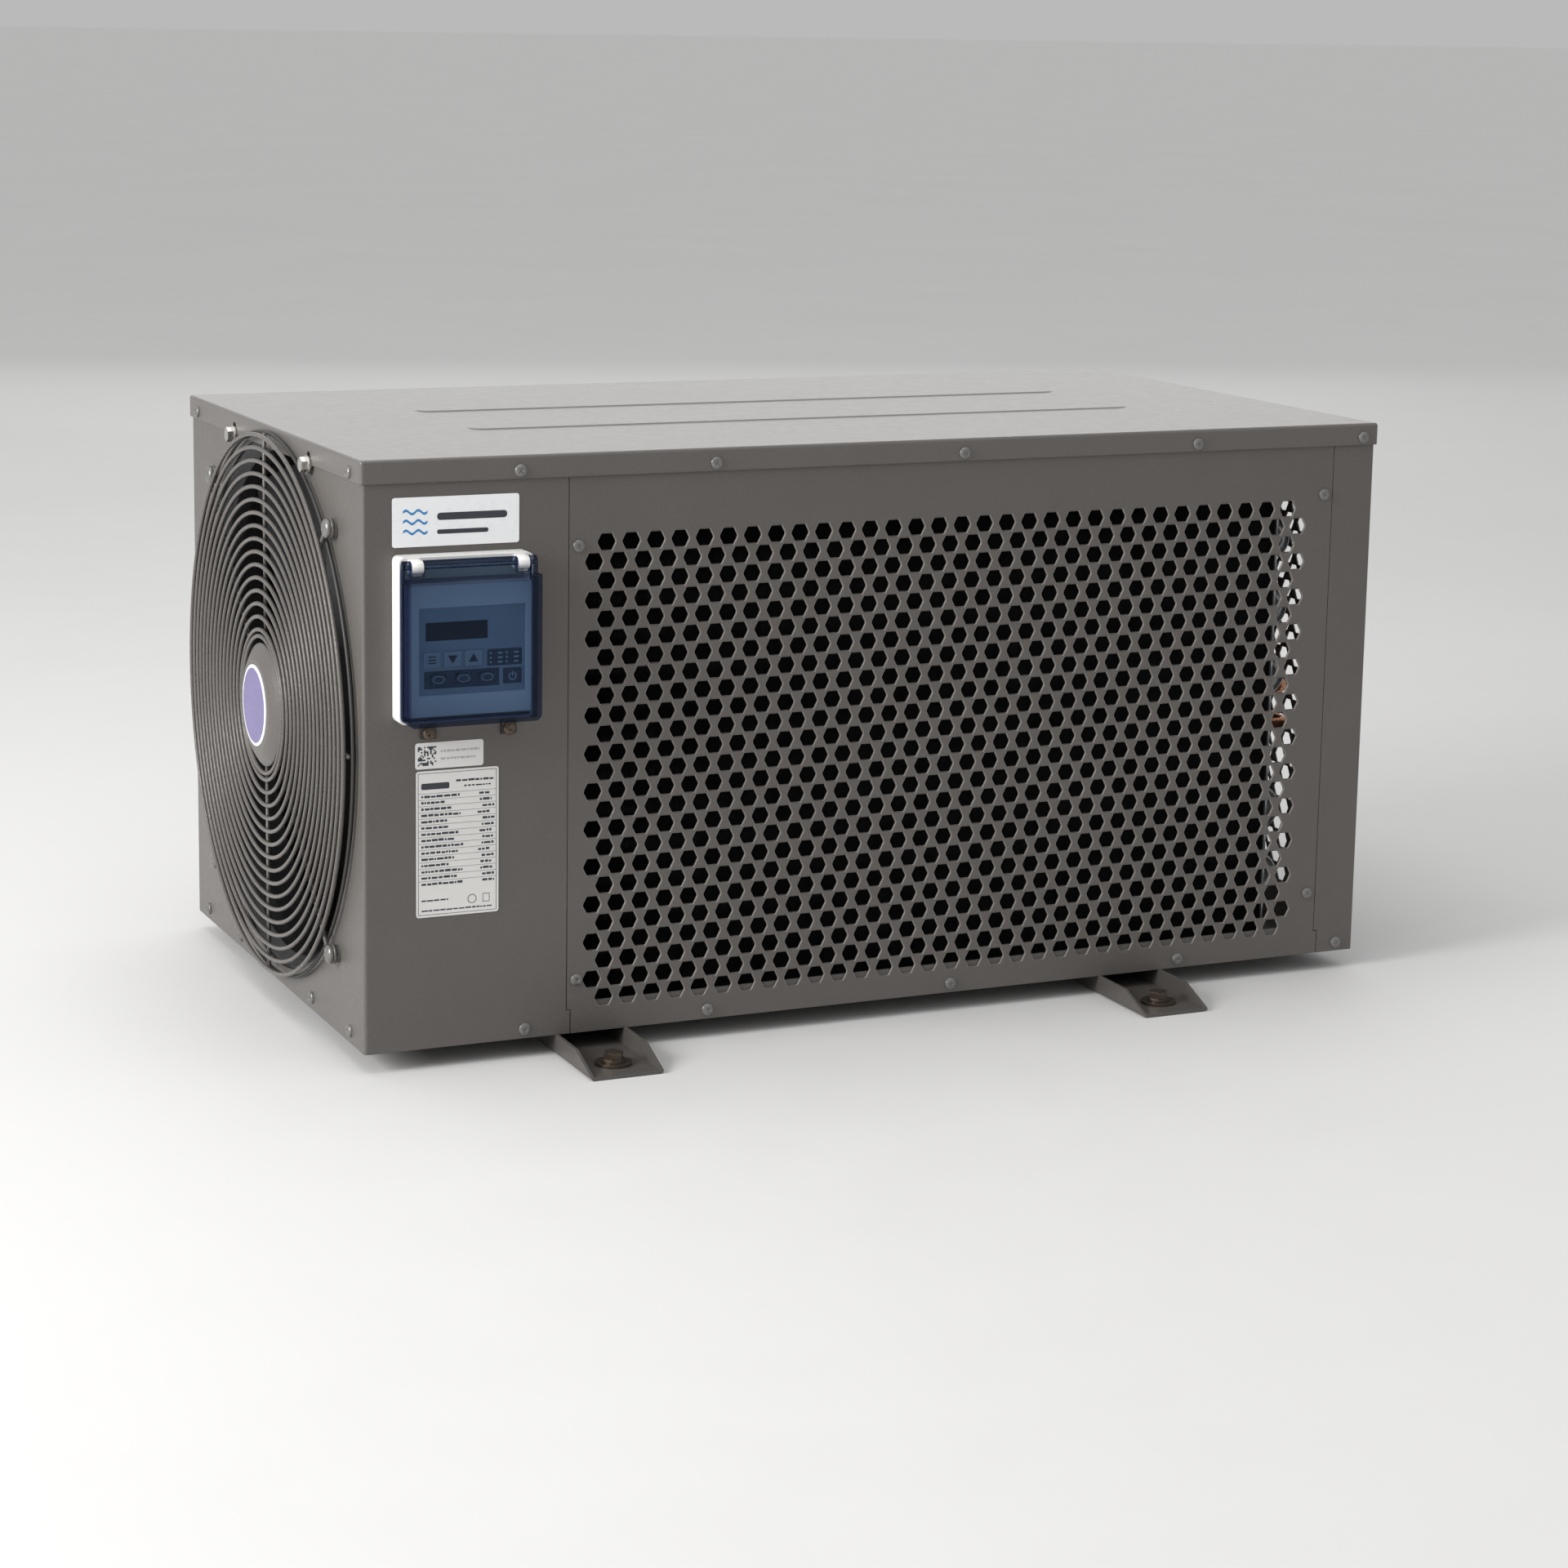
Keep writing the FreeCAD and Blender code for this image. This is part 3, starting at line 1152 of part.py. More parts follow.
def refrigerant_side():
    """The reversing valve, the filter drier and the copper between them and the machines."""
    valve = fuse("valve_whole", [
        cylinder("valve_barrel", 14, 92, (170, 48, 325), "+X"),
        cylinder("valve_coil", 17, 25, (200, 48, 325), "+Z"),
        cylinder("valve_stub", 7, 22, (216, 48, 305), "+Z"),
    ])
    outline = [
        ("0", "0"), ("5", "0"), ("5", "8"), ("19", "14"), ("19", "96"), ("5", "102"), ("5", "110"), ("0", "110"),
    ]
    drier = turned("filter_drier", outline, (160, 195, 120))
    part("refrigerant_fittings", group("refrigerant_fittings", [valve, drier]))
    runs = [
        pipe_run("discharge_pipe", [
            (300, 112, 271.7), (300, 112, 325), (300, 48, 325), (262.2, 48, 325),
        ], 4.8, 12),
        pipe_run("suction_pipe", [
            (205, 130, 244.2), (205, 130, 285), (216, 100, 285), (216, 48, 285), (216, 48, 304.9),
        ], 6.3, 9),
        pipe_run("accumulator_pipe", [(205, 130, 94.8), (205, 130, 70), (240.2, 119, 70)], 6.3, 12),
        pipe_run("liquid_pipe", [
            (160, 195, 230.2), (160, 195, 260), (160, 105, 260), (134.3, 105, 260),
        ], 4.8, 12),
        pipe_run("coil_feed", [
            (160, 195, 119.8), (160, 195, 60), (160, 20, 60), (364, 20, 60), (364, 20, 198.7),
            (364, -196, 198.7), (339.6, -196, 198.7),
        ], 4.8, 9),
        pipe_run("coil_return", [
            (339.6, -180, 225.9), (368, -180, 225.9), (368, 24, 225.9), (368, 24, 296),
            (240, 24, 296), (240, 48, 296), (240, 48, 310.8),
        ], 6.3, 10),
    ]
    part("refrigerant_pipes", group("refrigerant_pipes", runs))


def electrical_parts():
    """The electrical tray above the compressor with what it carries."""
    outer = box("tray_outer", (250, 168, 66), (150, 45, 352))
    inner = box("tray_inner", (247, 165, 66), (151.5, 46.5, 353.5))
    part("electrical_tray", cut("electrical_tray", outer, [inner]))
    part("electrical_parts", group("electrical_parts", [
        box("control_board", (110, 120, 1.6), (160, 60, 353.5)),
        box("contactor", (46, 62, 52), (285, 70, 353.5)),
        cylinder("capacitor", 22, 90, (365, 75, 375.5), "+Y"),
        box("terminal_block", (90, 24, 22), (290, 175, 353.5)),
    ]))


# ---------------------------------------------------------------- build and export

foot_rail("foot_rail_left", "rail_left_x")
foot_rail("foot_rail_right", "rail_right_x")
rail_fixings()
base_pan()
drain_spigot()
lid()
left_side_panel()
front_grille()
right_side_panel()
rear_panel()
service_cover()
partition()
evaporator()
fan_shroud()
motor_bracket()
bracket_bolts()
fan_motor()
fan_rotor()
fan_guard()
guard_cap()
guard_bolts()
screw = pan_screw()
copies("lid_screws", screw, LID_SCREWS)
copies("front_screws", screw, GRILLE_SCREWS + COLUMN_SCREWS)
copies("side_screws", screw, LEFT_SCREWS + RIGHT_SCREWS + COVER_SCREWS)
copies("rear_screws", screw, REAR_SCREWS)
control_box_base()
copies("box_screws", screw, BOX_SCREWS)
cover_hinge_pin()
control_box_cover()
controller()
labels()
compressor()
water_side()
cable_glands()
refrigerant_side()
electrical_parts()

doc.recompute()
faults = [obj.Name for obj in doc.Objects if {"Invalid", "Error"} & set(obj.State)]
faults += [obj.Label for obj in PARTS if obj.Shape.isNull() or not obj.Shape.isValid()]
if faults:
    raise SystemExit("these objects failed: " + ", ".join(faults))

os.makedirs("parts", exist_ok=True)
for finished in PARTS:
    finished.Shape.exportStep("parts/%s.step" % finished.Label)
print("%d parts" % len(PARTS))
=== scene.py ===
import json
import math
import random

import bmesh
import bpy
from mathutils import Matrix, Vector
from mathutils.geometry import delaunay_2d_cdt


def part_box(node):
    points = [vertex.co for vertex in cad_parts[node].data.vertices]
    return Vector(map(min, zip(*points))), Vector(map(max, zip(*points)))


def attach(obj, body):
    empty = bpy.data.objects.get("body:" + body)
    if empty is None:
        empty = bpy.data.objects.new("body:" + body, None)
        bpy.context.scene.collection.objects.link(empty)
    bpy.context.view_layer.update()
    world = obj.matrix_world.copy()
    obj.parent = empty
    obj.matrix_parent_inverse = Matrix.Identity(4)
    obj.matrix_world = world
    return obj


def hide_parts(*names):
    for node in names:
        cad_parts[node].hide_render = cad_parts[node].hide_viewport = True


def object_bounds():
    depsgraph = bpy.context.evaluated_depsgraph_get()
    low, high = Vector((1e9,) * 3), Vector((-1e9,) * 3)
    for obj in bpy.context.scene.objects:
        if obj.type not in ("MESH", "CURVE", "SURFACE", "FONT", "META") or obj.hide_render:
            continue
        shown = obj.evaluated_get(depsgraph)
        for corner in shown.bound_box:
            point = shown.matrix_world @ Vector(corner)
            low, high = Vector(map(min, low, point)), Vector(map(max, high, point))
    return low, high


# The heat pump dressed for the camera: painted sheet steel, wire guard, controls and labels.
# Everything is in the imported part's frame, in metres.

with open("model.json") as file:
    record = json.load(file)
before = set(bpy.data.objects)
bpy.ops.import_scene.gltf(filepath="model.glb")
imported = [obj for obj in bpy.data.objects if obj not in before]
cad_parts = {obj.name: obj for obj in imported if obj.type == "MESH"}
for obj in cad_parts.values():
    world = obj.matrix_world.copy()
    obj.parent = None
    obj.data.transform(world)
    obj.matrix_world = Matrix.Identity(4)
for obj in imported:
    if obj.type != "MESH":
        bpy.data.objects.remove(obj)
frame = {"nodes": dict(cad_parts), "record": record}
cad_low, cad_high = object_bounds()
nodes = frame["nodes"]
MM = 0.001
X, Y, Z = Vector((1, 0, 0)), Vector((0, 1, 0)), Vector((0, 0, 1))


# ---------------------------------------------------------------- finishes


class Finish:
    """A material built up node by node."""

    def __init__(self, name):
        self.material = bpy.data.materials.new(name)
        self.material.use_nodes = True
        self.tree = self.material.node_tree
        self.shader = self.tree.nodes["Principled BSDF"]
        self.place = self.add("ShaderNodeTexCoord").outputs["Object"]

    def add(self, kind, settings=None, **values):
        node = self.tree.nodes.new(kind)
        for key, value in (settings or {}).items():
            setattr(node, key, value)
        for key, value in values.items():
            self.put(node.inputs[key.replace("_", " ")], value)
        return node

    def put(self, socket, value):
        if isinstance(value, bpy.types.NodeSocket):
            self.tree.links.new(value, socket)
        else:
            socket.default_value = value

    def set(self, **values):
        for key, value in values.items():
            self.put(self.shader.inputs[key.replace("_", " ")], value)

    def noise(self, scale, detail=2.0, rough=0.5):
        made = self.add("ShaderNodeTexNoise", Vector=self.place, Scale=scale, Detail=detail, Roughness=rough)
        return made.outputs["Fac"]

    def span(self, value, low, high, out_low, out_high):
        made = self.add("ShaderNodeMapRange", Value=value, From_Min=low, From_Max=high,
                        To_Min=out_low, To_Max=out_high)
        return made.outputs[0]

    def mix(self, factor, first, second, how="MIX"):
        node = self.tree.nodes.new("ShaderNodeMix")
        node.data_type = "RGBA"
        node.blend_type = how
        colours = [item for item in node.inputs if item.type == "RGBA"]
        self.put(node.inputs[0], factor)
        for socket, value in zip(colours, (first, second)):
            self.put(socket, value if isinstance(value, bpy.types.NodeSocket) else (*value[:3], 1))
        return [item for item in node.outputs if item.type == "RGBA"][0]

    def bump(self, height, strength, distance, normal=None):
        node = self.add("ShaderNodeBump", Height=height, Strength=strength, Distance=distance)
        if normal is not None:
            self.put(node.inputs["Normal"], normal)
        return node.outputs[0]

    def eased(self, radius):
        """The normal of a surface whose edges are rounded by this much."""
        return self.add("ShaderNodeBevel", {"samples": 4}, Radius=radius).outputs[0]


def shade(colour, factor):
    return tuple(min(1.0, c * factor) for c in colour[:3])


def surface(name, colour, rough, metal=0.0, coat=0.0, mottle=0.10, grain=900.0, grit_and_glints=0.10, bump=0.10,
            patch=14.0, edge=0.0005, uneven=0.065):
    """A finish with broad mottling, fine grain, lighter speckles that are partly painted glints, uneven gloss
    and edges eased by a radius in metres.
    """
    f = Finish(name)
    broad = f.noise(patch, 4.0, 0.6)
    fine = f.noise(grain, 3.0, 0.6)
    middle = f.noise(patch * 9, 3.0, 0.55)
    tone = f.mix(f.span(broad, 0.3, 0.7, 0, 1), shade(colour, 1 - mottle), shade(colour, 1 + mottle))
    # Lighter speckles: partly grain in the coat, partly painted glints of its gritty texture.
    tone = f.mix(f.span(fine, 0.35, 0.75, 0, 1), tone, f.mix(grit_and_glints, tone, shade(colour, 2.2)))
    f.set(Base_Color=tone, Metallic=metal, Coat_Weight=coat, Coat_Roughness=0.22)
    f.set(Roughness=f.span(middle, 0.3, 0.7, max(0.02, rough - uneven), min(1.0, rough + uneven)))
    normal = f.eased(edge) if edge else None
    normal = f.bump(fine, bump, 0.0004, normal)
    f.set(Normal=f.bump(middle, uneven * bump, 0.001, normal))
    return f.material


PAINT = (0.098, 0.089, 0.082)
COATED = dict(mottle=0.04, grain=620, grit_and_glints=0.12, uneven=0.02)  # powder coat on sheet steel
PRINTED = dict(grit_and_glints=0.02, bump=0.0, edge=0)
RECIPES = {  # colour, roughness and whatever else differs from a plain surface
    "case_paint": (PAINT, 0.36, dict(COATED, bump=0.8, edge=0.0008)),
    "lid_paint": (PAINT, 0.33, dict(COATED, coat=0.35, bump=0.7, edge=0.0017)),
    "sheet_paint": (PAINT, 0.36, dict(COATED, bump=0.8, edge=0)),
    # The hole rims and walls use the sheet paint made lighter: a painted highlight along the rolled edges.
    "rim_painted_highlight": (shade(PAINT, 1.7), 0.30, dict(mottle=0.12, grain=900, grit_and_glints=0.2, bump=0.3, edge=0)),
    "rail_paint": (shade(PAINT, 0.80), 0.40, dict(mottle=0.08, grain=620, grit_and_glints=0.12, bump=0.6, edge=0)),
    "screw_paint": ((0.17, 0.165, 0.158), 0.28, dict(metal=0.4, mottle=0.15, grain=1500, bump=0.15, edge=0)),
    # The wires have the strongest speckle: painted glints along them.
    "guard_wire": (shade(PAINT, 0.85), 0.30, dict(mottle=0.15, grain=700, grit_and_glints=0.40, bump=0.8, edge=0)),
    # The rear ring's paint is much darker than the front wires: painted shade for the shadow it sits in.
    "guard_rear": (shade(PAINT, 0.30), 0.45, dict(mottle=0.15, grain=700, grit_and_glints=0.10, bump=0.5, edge=0)),
    "galvanised": ((0.46, 0.47, 0.48), 0.38, dict(metal=0.9, mottle=0.18, patch=60, bump=0.06)),
    "zinc": ((0.66, 0.64, 0.60), 0.24, dict(metal=1.0, mottle=0.16, patch=220, bump=0.08, edge=0.0003)),
    "bronze_zinc": ((0.10, 0.078, 0.060), 0.34, dict(metal=0.8, mottle=0.2, patch=200, bump=0.1, edge=0.0004)),
    "black_plastic": ((0.018, 0.018, 0.020), 0.42, dict(mottle=0.2, bump=0.12)),
    "face_plastic": ((0.62, 0.66, 0.70), 0.40, dict(mottle=0.03, grit_and_glints=0.0, bump=0.05)),
    "panel_film": ((0.30, 0.35, 0.42), 0.35, dict(mottle=0.04, grit_and_glints=0.02, bump=0.03)),
    "display": ((0.012, 0.016, 0.024), 0.12, dict(mottle=0.1, grit_and_glints=0.0, bump=0.0)),
    "key_plastic": ((0.36, 0.40, 0.46), 0.38, dict(mottle=0.04, grit_and_glints=0.02, bump=0.05)),
    "key_dark": ((0.055, 0.065, 0.095), 0.38, dict(mottle=0.05, grit_and_glints=0.02, bump=0.05)),
    "ink": ((0.03, 0.034, 0.045), 0.45, dict(PRINTED, mottle=0.1)),
    "grey_ink": ((0.42, 0.42, 0.42), 0.45, dict(PRINTED, mottle=0.1)),
    "pale_ink": ((0.50, 0.58, 0.68), 0.45, dict(PRINTED, mottle=0.05)),
    "blue_ink": ((0.03, 0.22, 0.52), 0.40, dict(PRINTED, mottle=0.1)),
    "label": ((0.70, 0.69, 0.67), 0.42, dict(mottle=0.04, grit_and_glints=0.02, bump=0.03, edge=0)),
    "label_white": ((0.86, 0.87, 0.88), 0.30, dict(mottle=0.02, grit_and_glints=0.0, bump=0.02, edge=0)),
    "badge": ((0.125, 0.10, 0.25), 0.22, dict(mottle=0.08, patch=40, grit_and_glints=0.02, bump=0.02, edge=0)),
    # fins: near black for the coil's fins and tubes, painted shade for the dark inside of the case behind the
    # grille.
    "fins": ((0.060, 0.060, 0.062), 0.42, dict(metal=0.5, mottle=0.2, patch=30, bump=0.05, edge=0)),
    "copper": ((0.70, 0.34, 0.20), 0.30, dict(metal=1.0, mottle=0.25, patch=40, bump=0.06, edge=0)),
    "steel": ((0.45, 0.45, 0.46), 0.28, dict(metal=1.0, mottle=0.12, patch=90, bump=0.05)),
    # black_paint: near black; where it is used inside the case, on the shroud and frames, it is painted shade
    # for the dark interior.
    "black_paint": ((0.016, 0.016, 0.017), 0.30, dict(mottle=0.2, bump=0.10)),
    "rubber": ((0.025, 0.025, 0.026), 0.65, dict(mottle=0.2, bump=0.15)),
    "vessel": ((0.04, 0.045, 0.05), 0.35, dict(mottle=0.15, bump=0.08)),
    "pvc": ((0.62, 0.63, 0.62), 0.32, dict(mottle=0.04, bump=0.03, edge=0.0007)),
    "board": ((0.03, 0.16, 0.07), 0.35, dict(mottle=0.3, patch=120, bump=0.1)),
}
materials = {name: surface(name, colour, rough, **rest) for name, (colour, rough, rest) in RECIPES.items()}

COVER_CLARITY = 0.88  # share of the light that goes straight through the smoked cover
BOX_UNDERSIDE = 0.2550  # the height in metres below which the control box is only its two lugs


def smoked_cover():
    """Blue clear plastic that tints what is behind it. Its side walls get a denser tint, painted shade for how
    near black they look edge-on.
    """
    f = Finish("cover_smoke")
    broad = f.noise(22.0, 3.0)
    fine = f.noise(1300.0, 2.0)
    facing = f.add("ShaderNodeSeparateXYZ", Vector=f.add("ShaderNodeNewGeometry").outputs["True Normal"])
    front = f.add("ShaderNodeMath", {"operation": "ABSOLUTE"})
    f.put(front.inputs[0], facing.outputs["Y"])
    # Faces not turned to the front get the denser tint: painted shade for the dark look of the walls seen
    # edge-on.
    tint = f.mix(f.span(front.outputs[0], 0.55, 0.95, 0, 1), (0.34, 0.36, 0.47), (0.66, 0.74, 0.82))
    tint = f.mix(f.span(broad, 0.3, 0.7, 0, 0.08), tint, (0.60, 0.70, 0.80))
    f.set(Base_Color=(0.012, 0.022, 0.05, 1), Roughness=f.span(fine, 0.3, 0.7, 0.05, 0.12), IOR=1.49)
    f.set(Normal=f.bump(fine, 0.03, 0.0003, f.eased(0.0009)))
    clear = f.add("ShaderNodeBsdfTransparent", Color=tint)
    blend = f.add("ShaderNodeMixShader")
    blend.inputs[0].default_value = COVER_CLARITY
    f.tree.links.new(f.shader.outputs[0], blend.inputs[1])
    f.tree.links.new(clear.outputs[0], blend.inputs[2])
    output = next(node for node in f.tree.nodes if node.type == "OUTPUT_MATERIAL")
    f.tree.links.new(blend.outputs[0], output.inputs["Surface"])
    return f.material


materials["cover_smoke"] = smoked_cover()


def box_plastic():
    """A white moulding. The lugs below its underside are dark clips."""
    f = Finish("box_plastic")
    broad = f.noise(30.0, 3.0)
    fine = f.noise(900.0, 2.0)
    height = f.add("ShaderNodeSeparateXYZ", Vector=f.place).outputs["Z"]
    clip = f.span(height, BOX_UNDERSIDE - 0.5 * MM, BOX_UNDERSIDE, 1.0, 0.0)
    white = f.mix(f.span(broad, 0.3, 0.7, 0, 1), (0.77, 0.76, 0.74), (0.82, 0.81, 0.79))
    f.set(Base_Color=f.mix(clip, white, (0.05, 0.047, 0.045)), Metallic=f.span(clip, 0, 1, 0, 0.7))
    f.set(Roughness=f.span(fine, 0.3, 0.7, 0.26, 0.36), Normal=f.bump(fine, 0.03, 0.0003, f.eased(0.0008)))
    return f.material


materials["box_plastic"] = box_plastic()


# ---------------------------------------------------------------- building


def piece(name, points, faces, material, body="cabinet", stands_for=(), slot=None, smooth=True, parts=None):
    """A mesh that rides on a body, and stands for CAD nodes if it is given any."""
    mesh = bpy.data.meshes.new(name)
    mesh.from_pydata([tuple(p) for p in points], [], faces)
    for item in [material] + list(parts[0] if parts else []):
        mesh.materials.append(materials[item])
    if parts:
        mesh.polygons.foreach_set("material_index", parts[1])
    mesh.polygons.foreach_set("use_smooth", [smooth] * len(mesh.polygons))
    mesh.validate()
    mesh.update()
    obj = bpy.data.objects.new(name, mesh)
    bpy.context.scene.collection.objects.link(obj)
    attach(obj, body)
    if stands_for:
        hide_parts(*stands_for)
    return obj


def sharp_by_angle(obj, degrees=35):
    """Smooth shading inside a run of faces, creased where they turn sharply."""
    mesh = bmesh.new()
    mesh.from_mesh(obj.data)
    limit = math.radians(degrees)
    for edge in mesh.edges:
        edge.smooth = len(edge.link_faces) == 2 and edge.calc_face_angle(0.0) < limit
    mesh.to_mesh(obj.data)
    mesh.free()
    return obj


def basis(axis):
    """Two unit vectors square to an axis."""
    side = Z if abs(axis.dot(Z)) < 0.9 else X
    first = axis.cross(side).normalized()
    return first, axis.cross(first).normalized()


class Shape:
    """Points and faces gathered from several simple runs, each with its own finish."""

    def __init__(self):
        self.points = []
        self.faces = []
        self.kinds = []

    def grid(self, rows, closed_rows=False, closed_columns=False, kind=0):
        """A net of quads through rows of points."""
        start = len(self.points)
        width = len(rows[0])
        for row in rows:
            self.points.extend(row)
        for i in range(len(rows) if closed_rows else len(rows) - 1):
            for j in range(width if closed_columns else width - 1):
                below = start + i * width
                above = start + ((i + 1) % len(rows)) * width
                k = (j + 1) % width
                self.faces.append((below + j, below + k, above + k, above + j))
                self.kinds.append(kind)

    def lathe(self, origin, axis, profile, sides=64, kind=0, start=0.0):
        """A profile of (radius, height) corners turned about an axis."""
        first, second = basis(axis)
        rows = []
        for radius, height in profile:
            base = origin + axis * height
            row = []
            for step in range(sides):
                turn = start + 2 * math.pi * step / sides
                row.append(base + first * (radius * math.cos(turn)) + second * (radius * math.sin(turn)))
            rows.append(row)
        self.grid(rows, closed_columns=True, kind=kind)

    def ring(self, centre, axis, radius, wire, sides=160, around=10, kind=0):
        """A closed ring of round wire."""
        first, second = basis(axis)
        rows = []
        for step in range(sides):
            turn = 2 * math.pi * step / sides
            out = first * math.cos(turn) + second * math.sin(turn)
            row = []
            for part in range(around):
                roll = 2 * math.pi * part / around
                row.append(centre + out * (radius + wire * math.cos(roll)) + axis * (wire * math.sin(roll)))
            rows.append(row)
        self.grid(rows, closed_rows=True, closed_columns=True, kind=kind)

    def flat(self, corners, kind=0):
        start = len(self.points)
        self.points.extend(corners)
        self.faces.append(tuple(range(start, start + len(corners))))
        self.kinds.append(kind)

    def make(self, name, finishes, **how):
        others = finishes[1:]
        return piece(name, self.points, self.faces, finishes[0], parts=(others, self.kinds), **how)


def flat_faces_first(obj):
    """Let the large flat faces set the shading of the rolled edges beside them."""
    level = obj.modifiers.new("level", "WEIGHTED_NORMAL")
    level.keep_sharp = True
    level.weight = 100


def islands(node):
    """The separate solids of a CAD node, each as its lowest and highest corner."""
    mesh = bmesh.new()
    mesh.from_mesh(nodes[node].data)
    bmesh.ops.remove_doubles(mesh, verts=mesh.verts, dist=1e-6)
    left = set(mesh.verts)
    found = []
    while left:
        stack = [left.pop()]
        group = []
        while stack:
            vert = stack.pop()
            group.append(vert.co.copy())
            for edge in vert.link_edges:
                other = edge.other_vert(vert)
                if other in left:
                    left.remove(other)
                    stack.append(other)
        low = Vector(min(p[i] for p in group) for i in range(3))
        high = Vector(max(p[i] for p in group) for i in range(3))
        found.append((low, high))
    mesh.free()
    return sorted(found, key=lambda pair: tuple(round(c, 5) for c in pair[0]))


# ---------------------------------------------------------------- screws

middle = (cad_low + cad_high) / 2
HEAD_RADIUS, HEAD_HEIGHT = 4.6 * MM, 2.6 * MM
HEAD_BACK = 2.7 * MM  # from the tip of a CAD screw's head to the sheet under it
HEAD_RINGS = (0.0, 0.10, 0.18, 0.26, 0.34, 0.42, 0.50, 0.58, 0.68, 0.80, 0.90, 0.97, 1.0, 1.0)
ARM_HALF, ARM_SLOPE, ARM_REACH = 0.13, 0.03, 0.55  # the cross recess, as shares of the head's radius
RECESS_DEPTH = 1.1 * MM


def cross_head(shape, seat, out, turn, radius=HEAD_RADIUS, tall=HEAD_HEIGHT):
    """A pan head with a cross recess."""
    first, second = basis(out)
    turned = first * math.cos(turn) + second * math.sin(turn)
    across = out.cross(turned)
    rows = []
    for number, share in enumerate(HEAD_RINGS):
        row = []
        for step in range(48):
            angle = 2 * math.pi * step / 48
            u, v = share * math.cos(angle), share * math.sin(angle)
            height = tall * math.sqrt(max(0.0, 1 - (share * 0.93) ** 2.6))
            arm = min(max(abs(u) - ARM_HALF, 0), max(abs(v) - ARM_HALF, 0))
            if share < ARM_REACH and arm <= ARM_SLOPE:
                height -= RECESS_DEPTH * (1 - share / 0.62)
            if number == len(HEAD_RINGS) - 1:
                height = 0.0
            row.append(seat + turned * (u * radius) + across * (v * radius) + out * height)
        rows.append(row)
    shape.grid(rows[::-1], closed_columns=True)


def screws(node, finish):
    """A modelled head over each screw of a CAD node, turned at random."""
    shape = Shape()
    rng = random.Random(len(node))
    for low, high in islands(node):
        size = high - low
        centre = (low + high) / 2
        axis = max(range(3), key=lambda i: size[i])
        sign = 1 if centre[axis] > middle[axis] else -1
        out = Vector((0, 0, 0))
        out[axis] = sign
        tip = high[axis] if sign > 0 else low[axis]
        seat = centre.copy()
        seat[axis] = tip - sign * HEAD_BACK
        cross_head(shape, seat, out, rng.uniform(0, math.pi))
    made = shape.make(node + "_heads", [finish], stands_for=[node], slot="screw_paint")
    return sharp_by_angle(made, 50)


for name in ("lid_screws", "front_screws", "side_screws", "rear_screws"):
    screws(name, "screw_paint")
screws("box_screws", "bronze_zinc")


# A guard bolt's spacer, neck and washer, as (radius, height) in mm. Heights start at the dome's tip.
BOLT_PROFILE = ((0, -9.8), (2.4, -9.8), (6.5, -9.7), (6.5, -7.6), (2.4, -7.6), (2.4, -4.6),
                (6.6, -4.6), (7, -4.3), (7, -3.9))
DOME_SEAT, DOME_RADIUS, DOME_HEIGHT = 3.9 * MM, 6.9 * MM, 3.9 * MM


def guard_bolts():
    """Domed cross-recess bolts on spacers, one at each eye of the guard."""
    shape = Shape()
    for low, high in islands("guard_bolts"):
        seat = (low + high) / 2
        seat.x = low.x
        shape.lathe(seat, -X, [(r * MM, h * MM) for r, h in BOLT_PROFILE], sides=40)
        cross_head(shape, seat + X * DOME_SEAT, -X, 0.5, DOME_RADIUS, DOME_HEIGHT)
    made = shape.make("guard_bolt_heads", ["screw_paint"], stands_for=["guard_bolts"], slot="screw_paint")
    sharp_by_angle(made, 50)


guard_bolts()


# ---------------------------------------------------------------- fan guard and cap

cap_low, cap_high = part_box("guard_cap")
fan_centre = (cap_low + cap_high) / 2
OUT = -X
CASE_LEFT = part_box("left_side_panel")[0].x
RING_PLANE, SPOKE_PLANE, REAR_PLANE = 10.0 * MM, 6.7 * MM, 3.7 * MM  # out from the case
GUARD_RADIUS, GUARD_PITCH = 204 * MM, 9.8 * MM
WIRE, SPOKE, REAR_WIRE = 1.7 * MM, 1.6 * MM, 1.4 * MM  # half thicknesses
SPOKE_START, SHORT_SPOKE, LONG_SPOKE = 36 * MM, 206 * MM, 212.8 * MM  # from the fan's axis
EYE_RADIUS = 6.2 * MM
CAP_RISE = 8.6  # mm from the case to the back of the cap's rim
CAP_OUTSIDE = ((45.2, 0.0), (46.6, 0.0), (47.0, 0.4), (46.8, 1.2), (45.0, 2.4), (42.5, 3.9), (39.5, 5.4),
               (37.0, 6.6), (35.2, 7.2), (33.6, 7.4), (31.3, 7.4), (31.1, 7.2), (31.0, 6.6), (0.0, 6.6))
CAP_INSIDE = ((45.2, 0.0), (40.5, 2.2), (36.0, 5.0), (31.0, 6.0), (0.0, 6.0))
BADGE_RIM = ((30.9, 6.7), (30.9, 7.9), (30.3, 8.2), (28.6, 8.3))
BADGE_FACE = ((28.6, 8.3), (20, 8.36), (8, 8.39), (0, 8.4))


def at_fan(offset):
    """The point on the fan's axis this far out from the case."""
    return Vector((CASE_LEFT - offset, fan_centre.y, fan_centre.z))


